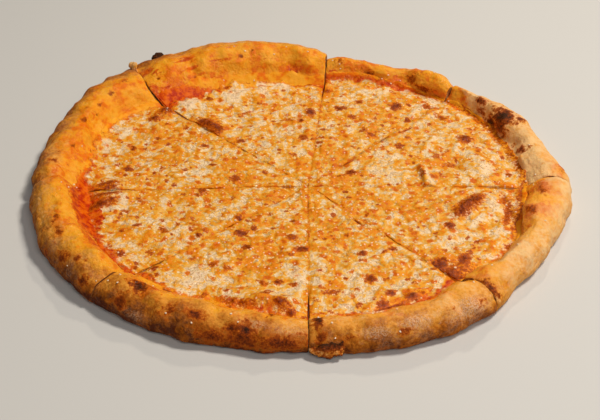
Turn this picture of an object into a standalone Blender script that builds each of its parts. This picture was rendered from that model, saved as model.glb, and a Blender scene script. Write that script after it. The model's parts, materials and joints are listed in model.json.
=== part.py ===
"""A whole cheese pizza, cut into eight slices that still lie together.

Metres, +Z up. The underside is at z = 0, and the origin is under the middle of the pizza's box. Azimuths are
in degrees from +X towards +Y, round the point where the cuts cross. Each slice is a crust with a raised rim,
a layer of sauce on it and a layer of cheese on that. All three are lofted across the slice from radial
profiles, which share their stations on the rim's inner slope, so that the layers lie parallel there. The left
back cut turns aside in the rim.
"""

import math

import bmesh
import bpy
import numpy as np
from mathutils import Vector, noise

MM = 0.001

# Driving dimensions
CUT_CENTRE = (4.7 * MM, -7.9 * MM)  # where the cuts cross, seen from the middle of the box
BASE = 4.5 * MM  # thickness of the dough under the sauce
SAUCE = 0.9 * MM
CHEESE = 2.7 * MM
CHEESE_EDGE = 0.7 * MM  # thickness of the cheese where it ends on the rim
GAP = 0.35 * MM  # between two layers
KERF = 0.2 * MM  # from the middle of a cut to the slice's side
TIP = 1.2 * MM  # the slice's tip is blunt, and starts this far past the meeting of its sides
KINK = 184 * MM  # radius past which a cut may turn aside
TUCK = 6.5 * MM  # how far the rim curves in under its widest line
WIDEST = 0.36  # height of the rim's widest line, as a share of the rim's height
RIDGE = 0.42  # place of the rim's crest, as a share of its width from the outside
LUMP = 1.9 * MM  # depth of the rim's slow lumps, and their spacing
LUMP_SPACING = 34 * MM
RIPPLE = 0.5 * MM  # depth of the cheese's slow waves, and their spacing
RIPPLE_SPACING = 22 * MM
NOISE_SHIFT = (7.3, 3.1, 5.7)  # from one slice's noise to the next's
CORNER = 7.0 * MM  # how far from a cut the rim's end is pressed down, and by what share of its height
CORNER_DROP = 0.10
CHEESE_FADE = 12 * MM  # how far from its edge the cheese starts to thin
WELD = 1e-6

SECTIONS = 16  # radial profiles in one slice
BASE_STATIONS = 9  # points of the cheese's top on the flat of one profile
TUCK_ANGLES = (30, 60, 90)  # points of a profile round the tuck and round the shoulder, in degrees
SHOULDER_ANGLES = (22.5, 45, 67.5, 90)
SLOPE_SHARES = (0.75, 0.5, 0.25)  # points of a profile from its crest down to the sauce's edge
LAYER_SHARES = (1, 2 / 3, 1 / 3, 0)  # points of a profile from the cheese's edge down to the foot
TUCK_SWELL = 0.45  # share of the swelling that reaches the start of the tuck, and the sauce's edge
SAUCE_EDGE_SWELL = 0.2
SHARP = 40  # degrees between two faces, past which their edge isn't shaded smooth

# One row a slice, in order round the pizza: the azimuths of its two sides, in degrees, and five values spread
# evenly from the first side to the second for the outer radius, the rim's height and the radius of the rim's
# inner foot, in millimetres, and for how far up the inner slope the cheese and the sauce reach, as shares. Where
# a side turns aside past the kink, slants gives its turn towards smaller azimuths, in degrees.
SLICES = {
    "right_back": {
        "azimuths": (0.1, 48.2),
        "outer": (200, 195, 196, 191, 190),
        "height": (22, 21, 22, 21, 19),
        "foot": (156, 158, 162, 169, 172),
        "cheese": (0.34, 0.36, 0.26, 0.28, 0.30),
        "sauce": (0.42, 0.42, 0.36, 0.38, 0.42),
    },
    "back_right": {
        "azimuths": (48.4, 84.6),
        "outer": (190, 192, 190, 189, 187),
        "height": (19, 21, 19, 20, 22),
        "foot": (168, 167, 160, 158, 156),
        "cheese": (0.28, 0.24, 0.34, 0.36, 0.30),
        "sauce": (0.38, 0.36, 0.56, 0.62, 0.56),
    },
    "back": {
        "azimuths": (85.3, 136.15),
        "slants": (0, 18),
        "outer": (189, 201, 213, 222, 231),
        "height": (28, 31, 32, 28, 23),
        "foot": (150, 149, 150, 151, 152),
        "cheese": (0.24, 0.26, 0.34, 0.30, 0.22),
        "sauce": (0.46, 0.46, 0.50, 0.56, 0.58),
    },
    "left_back": {
        "azimuths": (136.85, 183.3),
        "slants": (18, 0),
        "outer": (229, 222, 216, 211, 208),
        "height": (25, 24, 24, 24, 26),
        "foot": (158, 172, 168, 163, 164),
        "cheese": (0.32, 0.30, 0.34, 0.34, 0.24),
        "sauce": (0.44, 0.38, 0.42, 0.44, 0.44),
    },
    "left_front": {
        "azimuths": (183.6, 222.2),
        "outer": (208, 207, 205, 202, 200),
        "height": (26, 24, 24, 23, 22),
        "foot": (162, 162, 159, 158, 158),
        "cheese": (0.16, 0.16, 0.22, 0.26, 0.28),
        "sauce": (0.42, 0.44, 0.40, 0.38, 0.38),
    },
    "front_left": {
        "azimuths": (222.7, 269.7),
        "outer": (199, 194, 189, 184, 182),
        "height": (22, 21, 21, 19, 18),
        "foot": (154, 150, 148, 146, 148),
        "cheese": (0.26, 0.24, 0.24, 0.30, 0.30),
        "sauce": (0.36, 0.36, 0.36, 0.38, 0.38),
    },
    "front_right": {
        "azimuths": (270.4, 311.9),
        "outer": (182, 184, 187, 188, 188),
        "height": (19, 20, 21, 22, 23),
        "foot": (146, 148, 150, 150, 146),
        "cheese": (0.26, 0.26, 0.24, 0.20, 0.20),
        "sauce": (0.36, 0.38, 0.40, 0.40, 0.40),
    },
    "right_front": {
        "azimuths": (312.6, 359.9),
        "outer": (188, 184, 188, 194, 200),
        "height": (22, 21, 21, 22, 22),
        "foot": (146, 156, 158, 152, 154),
        "cheese": (0.30, 0.30, 0.30, 0.34, 0.36),
        "sauce": (0.38, 0.38, 0.38, 0.44, 0.44),
    },
}

# Blisters and rolls of the rim: azimuth, radius and height of the middle, length along the rim, width across
# it and how far it stands out, in millimetres. A negative one is a dent.
RIM_FORMS = {
    "right_back": (
        (25.5, 172, 21, 12, 10, 4.0),  # charred blister on the crest
        (9.0, 164, 15, 10, 14, -3.0),  # crease down the inner slope
        (30.0, 186, 20, 30, 14, 1.5),
        (14.0, 180, 22, 22, 14, 1.8),
    ),
    "back_right": (
        (56.0, 168, 17, 24, 11, 4.5),  # rolled bulge on the inner side
        (64.5, 164, 12, 7, 12, -3.0),  # crease at the bulge's end
        (76.0, 180, 19, 20, 14, 1.5),
    ),
    "back": (
        (111.0, 168, 30, 30, 22, 3.0),  # high hump in the middle of the rim
        (90.0, 168, 26, 12, 16, 3.0),  # glossy bubble beside the cut
        (94.5, 168, 26, 6, 12, -3.0),  # dimple beside the bubble
        (121.0, 168, 24, 7, 22, -3.5),  # crease that runs up the slope
        (128.0, 176, 22, 14, 20, 2.0),
    ),
    "left_back": (
        (146.0, 200, 22, 26, 18, 2.0),
        (158.0, 196, 24, 9, 26, -1.8),
        (170.0, 196, 24, 24, 20, 2.0),
        (180.0, 186, 22, 7, 24, -1.6),
    ),
    "left_front": (
        (190.0, 192, 23, 20, 16, 1.6),
        (206.0, 190, 23, 24, 14, 1.6),
        (217.0, 186, 22, 16, 14, 1.4),
    ),
    "front_left": (
        (228.0, 184, 20, 14, 12, 2.4),  # blister on the outer shoulder
        (226.5, 168, 18, 12, 7, 1.6),  # charred lip on the crest
        (243.0, 180, 18, 26, 12, 1.8),
        (259.0, 150, 9, 22, 9, 2.6),  # pocket of cheese that swells against the slope
        (262.0, 176, 14, 18, 10, 1.8),
    ),
    "front_right": (
        (283.0, 176, 14, 22, 10, 1.8),
        (297.0, 176, 18, 18, 12, 1.4),
        (306.0, 172, 21, 12, 16, 2.4),  # end that stands up beside the cut
    ),
    "right_front": (
        (347.0, 164, 16, 20, 13, 4.0),  # blister of cheese on the inner slope
        (341.0, 178, 20, 24, 12, 1.6),
        (316.0, 150, 12, 14, 15, 5.0),  # large burnt bubble beside the cut
        (329.0, 160, 15, 10, 10, 2.6),
        (336.0, 160, 12, 7, 9, -2.0),
    ),
}

# Blisters in the cheese: azimuth, radius, length along the radius, width across it and height, in millimetres
CHEESE_FORMS = {
    "right_back": ((9.9, 91, 5, 14, 2.2), (28.2, 141, 9, 6, 1.8), (4.0, 130, 22, 18, 2.0)),
    "back_right": ((72.0, 116, 6, 6, 1.4), (62.0, 130, 6, 6, 1.2)),
    "back": ((133.0, 117, 11, 9, 2.2), (108.0, 146, 16, 24, 1.6), (92.0, 110, 6, 6, 1.2)),
    "left_back": ((138.6, 157, 8, 7, 2.2), (144.0, 154, 7, 6, 1.8), (180.5, 146, 14, 6, 2.4)),
    "left_front": ((187.0, 150, 14, 8, 2.2), (206.0, 130, 8, 8, 1.2)),
    "front_left": ((257.0, 141, 9, 24, 2.4), (240.0, 110, 8, 8, 1.2)),
    "front_right": ((301.0, 118, 7, 7, 1.4), (290.0, 140, 7, 10, 1.2)),
    "right_front": ((346.0, 121, 16, 9, 3.2), (334.5, 115, 8, 6, 2.0)),
}

# Small forms fused to a rim: azimuth, radius and height of the middle, then half sizes along the rim, across
# it and upwards, in millimetres
KNOBS = {
    "back": ((126.0, 222.5, 17.0, 6.0, 6.0, 5.0),),  # burnt bubble on the outer edge
    "left_back": ((134.1, 216.0, 21.5, 3.2, 5.5, 5.0),),  # curled flap beside the cut
    "front_right": ((274.4, 181.5, 6.4, 12.2, 5.4, 5.0),),  # burnt chip that stands out at the foot
}
KNOB_TURN = (12, 8)  # segments round and up

# Base colour, roughness
CRUST_FINISH = ((0.62, 0.33, 0.12), 0.62)
SAUCE_FINISH = ((0.48, 0.06, 0.015), 0.38)
CHEESE_FINISH = ((0.80, 0.50, 0.20), 0.34)


def across(values, u):
    """Smooth value at u, from 0 to 1, on a curve through values that are spread evenly over that range."""
    values = np.asarray(values, float)
    ends = np.concatenate(([2 * values[0] - values[1]], values, [2 * values[-1] - values[-2]]))
    place = np.clip(u, 0, 1) * (len(values) - 1)
    k = np.minimum(place.astype(int), len(values) - 2)
    t = place - k
    a, b, c, d = ends[k], ends[k + 1], ends[k + 2], ends[k + 3]
    bend = (c - a) * t + (2 * a - 5 * b + 4 * c - d) * t**2 + (3 * b - a - 3 * c + d) * t**3
    return b + 0.5 * bend


def slow_noise(radius, azimuth, height, spacing, seed):
    """Smooth noise from -1 to 1 at each point."""
    points = np.stack([radius * np.cos(azimuth), radius * np.sin(azimuth), height + 0 * radius], -1) / spacing
    shift = Vector(NOISE_SHIFT) * seed
    return np.array([noise.noise(Vector(p) + shift) for p in points.reshape(-1, 3)]).reshape(radius.shape)


def side_angles(shape, u, radius):
    """Azimuth at share u of the way across a slice at this radius. Its sides lie KERF inside its azimuths, and
    follow a straight line that turns aside past the kink where the slice has slants."""
    first, last = np.radians(shape["azimuths"])
    margin = np.arcsin(KERF / radius)
    slants = np.radians(shape.get("slants", (0, 0)))
    past = np.maximum(radius - KINK, 0)
    first = first + margin - np.arctan2(past * math.tan(slants[0]), radius)
    last = last - margin - np.arctan2(past * math.tan(slants[1]), radius)
    return first + (last - first) * u


def inner_slope(t, foot, crest, height):
    """Radius and height of the rim's inner slope at share t of the way up it."""
    return foot + (crest - foot) * t, BASE + (height - BASE) * (0.5 - 0.5 * np.cos(math.pi * t))


def crust_profiles(shape):
    """Shares of the way across, then the crust's closed profiles: radius and height, one row a section."""
    u = np.linspace(0, 1, SECTIONS)
    first, last = np.radians(shape["azimuths"])
    outer = across(shape["outer"], u) * MM
    foot = across(shape["foot"], u) * MM
    to_cut = np.minimum(u, 1 - u) * (last - first) * outer
    height = across(shape["height"], u) * MM * (1 - CORNER_DROP * np.exp(-((to_cut / CORNER) ** 2)))
    crest = outer - (outer - foot) * RIDGE
    tip = KERF / math.sin((last - first) / 2) + TIP
    flat = outer - TUCK
    widest = height * WIDEST
    cheese = across(shape["cheese"], u)
    sauce = across(shape["sauce"], u)
    at_kink = inner_slope(sauce + (1 - sauce) * SLOPE_SHARES[-1], foot, crest, height)[0]
    rows = [(tip + 0 * u, 0 * u), (foot, 0 * u), (at_kink, 0 * u), (flat, 0 * u)]
    for angle in np.radians(TUCK_ANGLES):
        rows.append((flat + TUCK * np.sin(angle), widest * (1 - np.cos(angle))))
    for angle in np.radians(SHOULDER_ANGLES):
        rows.append((crest + (outer - crest) * np.cos(angle), widest + (height - widest) * np.sin(angle)))
    for share in SLOPE_SHARES:
        rows.append(inner_slope(sauce + (1 - sauce) * share, foot, crest, height))
    rows.append(inner_slope(sauce, foot, crest, height))
    for share in LAYER_SHARES:
        rows.append(inner_slope(cheese * share, foot, crest, height))
    rows.append((foot * 0.5, BASE + 0 * u))
    rows.append((tip + 0 * u, BASE + 0 * u))
    rows.append(rows[0])
    radius = np.stack([row[0] for row in rows], 1)
    z = np.stack([row[1] for row in rows], 1)
    return u, radius, z


# Places in the crust's profile of the underside's outer end, the sauce's edge, the cheese's edge, the rim's
# inner foot and the top of the tip, then of the two points that lie over each other at the kink
FLAT_END, SAUCE_EDGE, CHEESE_EDGE_AT, FOOT, TIP_TOP = 3, 14, 15, 18, 20
AT_KINK = (2, 13)


def swell(shape, forms, u, radius, z, seed):
    """Moves the rim's part of the profiles out along their normals, by its forms and slow lumps."""
    azimuth = side_angles(shape, u[:, None], radius)
    run = np.gradient(radius, axis=1)
    rise = np.gradient(z, axis=1)
    length = np.hypot(run, rise) + 1e-9
    out = LUMP * slow_noise(radius, azimuth, z, LUMP_SPACING, seed)
    for middle, reach, up, along, wide, height in forms:
        turn = (azimuth - math.radians(middle)) * radius / (along * MM)
        aside = np.hypot(radius - reach * MM, z - up * MM) / (wide * MM)
        out += height * MM * np.exp(-(turn**2) - aside**2)
    rim = np.zeros(radius.shape[1])
    rim[FLAT_END + 2 : SAUCE_EDGE] = 1
    rim[FLAT_END + 1] = TUCK_SWELL
    rim[SAUCE_EDGE] = SAUCE_EDGE_SWELL
    out *= rim
    return radius + out * rise / length, z - out * run / length


def sheet_body(name, shape, u, radius, z, finish, collection, folds=()):
    """A closed body: a sheet bent round through the profiles, with its two ends capped on the cuts. The caps are
    folded on the line between the two stations in folds."""
    azimuth = side_angles(shape, u[:, None], radius)
    x = CUT_CENTRE[0] + radius * np.cos(azimuth)
    y = CUT_CENTRE[1] + radius * np.sin(azimuth)
    across_count, round_count = radius.shape[0] - 1, radius.shape[1] - 1
    sheet = bmesh.new()
    bmesh.ops.create_grid(sheet, x_segments=across_count, y_segments=round_count, size=0.5)
    folded = []
    for vert in sheet.verts:
        i = round((vert.co.x + 0.5) * across_count)
        j = round((vert.co.y + 0.5) * round_count)
        vert.co = (x[i, j], y[i, j], z[i, j])
        if i in (0, across_count) and j in folds:
            folded.append(vert)
    bmesh.ops.triangulate(sheet, faces=sheet.faces[:], quad_method="FIXED")
    bmesh.ops.remove_doubles(sheet, verts=sheet.verts[:], dist=WELD)
    rims = [edge for edge in sheet.edges if edge.is_boundary]
    bmesh.ops.holes_fill(sheet, edges=rims, sides=0)
    if folded:
        bmesh.ops.connect_verts(sheet, verts=folded)
    caps = [face for face in sheet.faces if len(face.verts) > 3]
    bmesh.ops.triangulate(sheet, faces=caps, ngon_method="EAR_CLIP")
    bmesh.ops.recalc_face_normals(sheet, faces=sheet.faces[:])
    mesh = bpy.data.meshes.new(name)
    sheet.to_mesh(mesh)
    sheet.free()
    mesh.shade_smooth()
    mesh.set_sharp_from_angle(angle=math.radians(SHARP))
    mesh.materials.append(material(name, *finish))
    body = bpy.data.objects.new(name, mesh)
    collection.objects.link(body)
    return body


def material(name, colour, roughness):
    finish = bpy.data.materials.new(name)
    finish.use_nodes = True
    shader = finish.node_tree.nodes["Principled BSDF"]
    shader.inputs["Base Color"].default_value = (*colour, 1)
    shader.inputs["Roughness"].default_value = roughness
    shader.inputs["Metallic"].default_value = 0
    return finish


def fuse_knobs(body, knobs, helpers):
    """Fuses each small form to the body: a ball stretched to its half sizes, turned to face outwards."""
    for number, (middle, reach, up, along, wide, high) in enumerate(knobs):
        azimuth = math.radians(middle)
        ball = bmesh.new()
        bmesh.ops.create_uvsphere(ball, u_segments=KNOB_TURN[0], v_segments=KNOB_TURN[1], radius=1)
        mesh = bpy.data.meshes.new(f"{body.name}_knob_{number}")
        ball.to_mesh(mesh)
        ball.free()
        knob = bpy.data.objects.new(mesh.name, mesh)
        knob.scale = (wide * MM, along * MM, high * MM)
        knob.rotation_euler.z = azimuth
        knob.location = (
            CUT_CENTRE[0] + reach * MM * math.cos(azimuth),
            CUT_CENTRE[1] + reach * MM * math.sin(azimuth),
            up * MM,
        )
        knob.hide_render = True
        knob.display_type = "WIRE"
        helpers.objects.link(knob)
        union = body.modifiers.new(f"knob_{number}", "BOOLEAN")
        union.operation = "UNION"
        union.solver = "EXACT"
        union.object = knob


def make_sauce(name, shape, u, radius, z, collection):
    """The sauce lies on the crust from the tip to its edge on the slope."""
    under = [TIP_TOP, FOOT, FOOT - 1, FOOT - 2, CHEESE_EDGE_AT, SAUCE_EDGE]
    low = z[:, under] + GAP
    high = low + SAUCE
    spread = radius[:, under]
    ring = np.concatenate([spread, spread[:, ::-1], spread[:, :1]], 1)
    ring_z = np.concatenate([high, low[:, ::-1], high[:, :1]], 1)
    return sheet_body(name, shape, u, ring, ring_z, SAUCE_FINISH, collection)


def make_cheese(name, shape, forms, u, radius, z, seed, collection):
    """The cheese lies on the sauce, thins to its edge on the slope, and swells where it blistered."""
    under = [TIP_TOP, FOOT, FOOT - 1, FOOT - 2, CHEESE_EDGE_AT]
    low = z[:, under] + 2 * GAP + SAUCE
    spread = radius[:, under]
    shares = np.linspace(0, 1, BASE_STATIONS + 1)[None, 1:-1]
    flat = spread[:, :1] + (spread[:, 1:2] - spread[:, :1]) * shares
    top = np.concatenate([spread[:, :1], flat, spread[:, 1:]], 1)
    floor = np.concatenate([np.repeat(low[:, :1], BASE_STATIONS, 1), low[:, 1:]], 1)
    azimuth = side_angles(shape, u[:, None], top)
    edge = radius[:, CHEESE_EDGE_AT : CHEESE_EDGE_AT + 1]
    fade = np.sqrt(np.clip((edge - top) / CHEESE_FADE, 0, 1))
    thick = CHEESE + RIPPLE * slow_noise(top, azimuth, 0 * top, RIPPLE_SPACING, seed)
    for middle, reach, along, wide, height in forms:
        turn = (azimuth - math.radians(middle)) * top / (wide * MM)
        ahead = (top - reach * MM) / (along * MM)
        thick += height * MM * np.exp(-(turn**2) - ahead**2)
    high = floor + CHEESE_EDGE + (thick - CHEESE_EDGE) * fade
    ring = np.concatenate([spread, top[:, ::-1], spread[:, :1]], 1)
    ring_z = np.concatenate([low, high[:, ::-1], low[:, :1]], 1)
    return sheet_body(name, shape, u, ring, ring_z, CHEESE_FINISH, collection)


def make_slice(place, seed, pizza, helpers):
    shape = SLICES[place]
    u, radius, z = crust_profiles(shape)
    radius, z = swell(shape, RIM_FORMS[place], u, radius, z, seed)
    crust = sheet_body(f"crust_{place}", shape, u, radius, z, CRUST_FINISH, pizza, AT_KINK)
    fuse_knobs(crust, KNOBS.get(place, ()), helpers)
    make_sauce(f"sauce_{place}", shape, u, radius, z, pizza)
    make_cheese(f"cheese_{place}", shape, CHEESE_FORMS[place], u, radius, z, seed, pizza)


for old in list(bpy.data.objects):
    bpy.data.objects.remove(old)
pizza_collection = bpy.data.collections.new("cheese_pizza")
helper_collection = bpy.data.collections.new("cheese_pizza_helpers")
bpy.context.scene.collection.children.link(pizza_collection)
bpy.context.scene.collection.children.link(helper_collection)
for number, place in enumerate(SLICES):
    make_slice(place, number, pizza_collection, helper_collection)
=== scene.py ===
"""The looks of a whole cheese pizza, cut into eight slices that still lie together.

Metres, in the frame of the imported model: +Z up, the underside at z = 0. Azimuths are in degrees from +X
towards +Y, round the point where the cuts cross. Lengths in the tables are in millimetres.
"""
import json
import math

import bmesh
import bpy
import numpy as np
from mathutils import Matrix, Vector, noise
from mathutils.bvhtree import BVHTree

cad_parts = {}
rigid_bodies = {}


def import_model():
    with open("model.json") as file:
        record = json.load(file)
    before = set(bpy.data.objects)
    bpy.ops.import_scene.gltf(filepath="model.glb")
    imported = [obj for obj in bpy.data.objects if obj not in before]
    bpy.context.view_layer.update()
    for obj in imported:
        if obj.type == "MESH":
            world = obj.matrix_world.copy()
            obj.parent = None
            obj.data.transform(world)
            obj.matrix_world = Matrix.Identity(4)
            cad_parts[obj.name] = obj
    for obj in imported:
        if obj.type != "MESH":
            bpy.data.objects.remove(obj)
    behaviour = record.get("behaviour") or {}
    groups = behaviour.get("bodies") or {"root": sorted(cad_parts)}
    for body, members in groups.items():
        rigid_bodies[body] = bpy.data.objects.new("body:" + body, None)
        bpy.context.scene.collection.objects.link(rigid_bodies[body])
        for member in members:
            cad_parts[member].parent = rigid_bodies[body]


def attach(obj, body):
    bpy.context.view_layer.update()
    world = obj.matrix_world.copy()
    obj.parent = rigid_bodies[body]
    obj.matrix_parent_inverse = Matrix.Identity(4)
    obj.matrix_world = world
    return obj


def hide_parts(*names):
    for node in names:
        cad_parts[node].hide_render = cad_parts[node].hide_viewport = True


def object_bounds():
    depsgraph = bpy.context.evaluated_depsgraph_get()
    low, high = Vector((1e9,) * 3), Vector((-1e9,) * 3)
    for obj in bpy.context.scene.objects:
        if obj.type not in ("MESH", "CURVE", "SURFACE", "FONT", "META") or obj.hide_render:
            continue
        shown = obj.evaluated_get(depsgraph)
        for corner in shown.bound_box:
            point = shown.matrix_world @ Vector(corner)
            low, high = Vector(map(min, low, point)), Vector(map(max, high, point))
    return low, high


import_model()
cad_box = [list(corner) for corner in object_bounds()]

# ----------------------------------------------------------------------------------------------------------
# Crusts. Each of the eight is stretched dough with a raised rim, baked until it puffed up, blistered and
# browned: one fine sheet bent round through its radial profiles, and closed on the cuts. Oil and sauce have
# run over the rim, flour clings to its outer side, and its thinnest blisters are burnt.
MM = 0.001
CUT_CENTRE = (4.7 * MM, -7.9 * MM)  # where the cuts cross
BASE = 4.5 * MM  # thickness of the flat dough
KERF = 0.2 * MM  # half the width of a cut
TIP = 1.2 * MM  # how far a slice's tip is blunted
KINK = 184 * MM  # radius past which a cut may turn aside
TUCK = 6.5 * MM  # radius of the rounding under the rim
WIDEST = 0.36  # height of the rim's widest line, of its height
RIDGE = 0.42  # how far in the crest stands, of the rim's width
LUMP, LUMP_SPACING = 1.9 * MM, 34  # slow unevenness of the rim
CORNER, CORNER_DROP = 7.0 * MM, 0.10  # the crest dips beside a cut
SWELL_AT_SAUCE, SWELL_RUN = 0.2, 0.25  # how its swelling fades down the inner slope
CUT_ROUND, CUT_ROUND_DEPTH = 2.2 * MM, 1.1 * MM  # rounding of the rim's edges at a cut
NOISE_SHIFT = (7.3, 3.1, 5.7)  # between the noises of two seeds
TINY = 1e-9
WELD = 1e-6
BOX_MARGIN = 0.05 * MM

SECTIONS = 250
CROWDING = 0.4  # how much closer the sections stand at the cuts
TUCK_TURN = np.linspace(0, 90, 11)
SHOULDER_TURN = np.linspace(0, 90, 45)[1:]
SLOPE = np.linspace(1, 0, 61)[1:]
UNDERSIDE = 4  # the climb there
UNDER_KINK = 3  # station of the crust's profile on the underside, near the kink

# For each slice: the azimuths of its two sides, how much of the gaps beside it these fill where torn, and
# how far they turn past the kink, towards smaller azimuths. Then, as five values spread evenly from the
# first side to the second: the outer radius, the rim's height, the radius of its inner foot; how far up
# the inner slope cheese and sauce reach, how much further the cheese covers it in a thin film, how much
# painted shade darkens the cheese's edge; how far oil and sauce have run up the rim (0 is the foot, 1 the
# crest, 2 the widest line), how strong the red streaks along it are, how brown its outer side is, from
# browning together with painted shade on the sides turned from the light, how floury it is, and how
# scorched it is low down.
SLICES = {
    "right_back": {
        "azimuths": (0.1, 48.2), "torn": (0.9, 0.9), "outer": (200, 195, 196, 191, 190),
        "height": (22, 21, 22, 21, 19), "foot": (156, 158, 162, 169, 172),
        "cheese": (0.4, 0.42, 0.38, 0.36, 0.34), "sauce": (0.42, 0.42, 0.36, 0.38, 0.42),
        "shaded_edge": (0.4, 0.35, 0.35, 0.5, 0.4), "oil": (0.35, -0.2, -0.3, 0.1, 1.4),
        "red": (-0.1, -0.3, -0.3, -0.2, 0.3), "bake_and_shade": (0.08, 0.08, 0.08, 0.12, 0.25),
        "flour": (0.25, 0.2, 0.2, 0.2, 0.1), "scorch": (0.1, 0.1, 0.1, 0.1, 0.1),
    },
    "back_right": {
        "azimuths": (48.4, 84.6), "torn": (0.9, 0.7), "outer": (190, 192, 190, 189, 187),
        "height": (19, 21, 19, 20, 22), "foot": (168, 167, 160, 158, 156),
        "cheese": (0.28, 0.24, 0.34, 0.36, 0.3), "sauce": (0.38, 0.36, 0.56, 0.62, 0.56),
        "cover": (0.06, 0.06, 0.12, 0.12, 0.1), "oil": (1.3, 1.3, 1.4, 1.45, 1.45),
        "red": (0.1, 0.3, 0.5, 0.5, 0.5), "streaks": (0.35, 0.4, 0.4, 0.4, 0.4),
        "bake_and_shade": (0.1, 0.12, 0.2, 0.35, 0.5), "flour": (0.0, 0.0, 0.0, 0.0, 0.0),
        "scorch": (0.1, 0.2, 0.3, 0.3, 0.3),
    },
    "back": {
        "azimuths": (85.3, 136.15), "torn": (0.8, 0.45), "slants": (0, 18),
        "outer": (189, 201, 213, 222, 231), "height": (28, 31, 32, 28, 23),
        "foot": (150, 149, 150, 151, 152), "cheese": (0.24, 0.26, 0.34, 0.3, 0.22),
        "sauce": (0.46, 0.46, 0.5, 0.56, 0.58), "oil": (1.25, 1.2, 1.15, 1.2, 1.2),
        "red": (0.2, 0.05, 0.1, 0.4, 0.7), "streaks": (0.3, 0.4, 0.6, 0.9, 1.0),
        "bake_and_shade": (0.6, 0.65, 0.65, 0.8, 0.9), "flour": (0.1, 0.1, 0.15, 0.1, 0.1),
        "scorch": (0.1, 0.1, 0.15, 0.3, 0.4),
    },
    "left_back": {
        "azimuths": (136.85, 183.3), "torn": (0.45, 0.45), "slants": (18, 0),
        "outer": (229, 222, 216, 211, 208), "height": (25, 24, 24, 24, 26),
        "foot": (158, 172, 168, 163, 164), "cheese": (0.32, 0.3, 0.34, 0.34, 0.24),
        "sauce": (0.44, 0.38, 0.42, 0.44, 0.44), "oil": (1.1, 1.15, 1.15, 1.1, 1.1),
        "red": (0.2, 0.15, 0.15, 0.3, 0.5), "streaks": (0.35, 0.45, 0.45, 0.4, 0.4),
        "bake_and_shade": (1.0, 0.95, 0.85, 0.75, 0.75), "flour": (0.3, 0.3, 0.3, 0.3, 0.3),
        "scorch": (0.1, 0.1, 0.1, 0.1, 0.2),
    },
    "left_front": {
        "azimuths": (183.6, 222.2), "torn": (0.45, 1.3), "outer": (208, 207, 205, 202, 200),
        "height": (26, 24, 24, 23, 22), "foot": (162, 162, 159, 158, 158),
        "cheese": (0.16, 0.16, 0.22, 0.26, 0.28), "sauce": (0.42, 0.44, 0.4, 0.38, 0.38),
        "cover": (0.02, 0.04, 0.08, 0.06, 0.06), "oil": (1.3, 1.25, 1.2, 1.15, 1.05),
        "red": (0.75, 0.65, 0.5, 0.45, 0.4), "streaks": (0.35, 0.3, 0.2, 0.1, 0.0),
        "bake_and_shade": (0.65, 0.65, 0.7, 0.78, 0.85), "flour": (0.35, 0.4, 0.4, 0.4, 0.3),
        "scorch": (0.2, 0.2, 0.3, 0.35, 0.35),
    },
    "front_left": {
        "azimuths": (222.7, 269.7), "torn": (1.3, 0.9), "outer": (199, 194, 189, 184, 182),
        "height": (22, 21, 21, 19, 18), "foot": (154, 150, 148, 146, 148),
        "cheese": (0.26, 0.24, 0.24, 0.3, 0.3), "sauce": (0.36, 0.36, 0.36, 0.38, 0.38),
        "cover": (0.06, 0.08, 0.08, 0.04, 0.04), "oil": (0.9, 1.0, 0.9, 0.9, 0.9),
        "red": (0.3, 0.2, 0.2, 0.25, 0.2), "bake_and_shade": (0.85, 0.85, 0.85, 0.85, 0.8),
        "flour": (0.15, 0.12, 0.12, 0.12, 0.2), "scorch": (0.35, 0.3, 0.45, 0.9, 1.0),
    },
    "front_right": {
        "azimuths": (270.4, 311.9), "torn": (0.9, 0.45), "outer": (182, 184, 187, 188, 188),
        "height": (19, 20, 21, 22, 23), "foot": (146, 148, 150, 150, 146),
        "cheese": (0.26, 0.26, 0.24, 0.2, 0.2), "sauce": (0.36, 0.38, 0.4, 0.4, 0.4),
        "cover": (0.06, 0.08, 0.08, 0.1, 0.1), "oil": (0.9, 0.9, 0.8, 0.8, 0.9),
        "red": (0.15, 0.2, 0.3, 0.35, 0.2), "bake_and_shade": (0.75, 0.7, 0.65, 0.6, 0.55),
        "flour": (0.2, 0.35, 0.45, 0.5, 0.5), "scorch": (0.6, 0.4, 0.25, 0.2, 0.1),
    },
    "right_front": {
        "azimuths": (312.6, 359.9), "torn": (0.45, 0.9), "outer": (188, 184, 188, 194, 200),
        "height": (22, 21, 21, 22, 22), "foot": (146, 156, 158, 152, 154),
        "cheese": (0.3, 0.3, 0.3, 0.34, 0.36), "sauce": (0.38, 0.38, 0.38, 0.44, 0.44),
        "shaded_edge": (0.3, 0.2, 0.3, 0.45, 0.5), "oil": (0.7, 0.6, 0.6, 0.9, 1.0),
        "red": (0.2, 0.1, 0.1, 0.1, 0.1), "bake_and_shade": (0.3, 0.2, 0.14, 0.06, 0.04),
        "flour": (0.4, 0.5, 0.5, 0.5, 0.5), "scorch": (0.1, 0.1, 0.05, 0.05, 0.05),
    },
}

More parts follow.
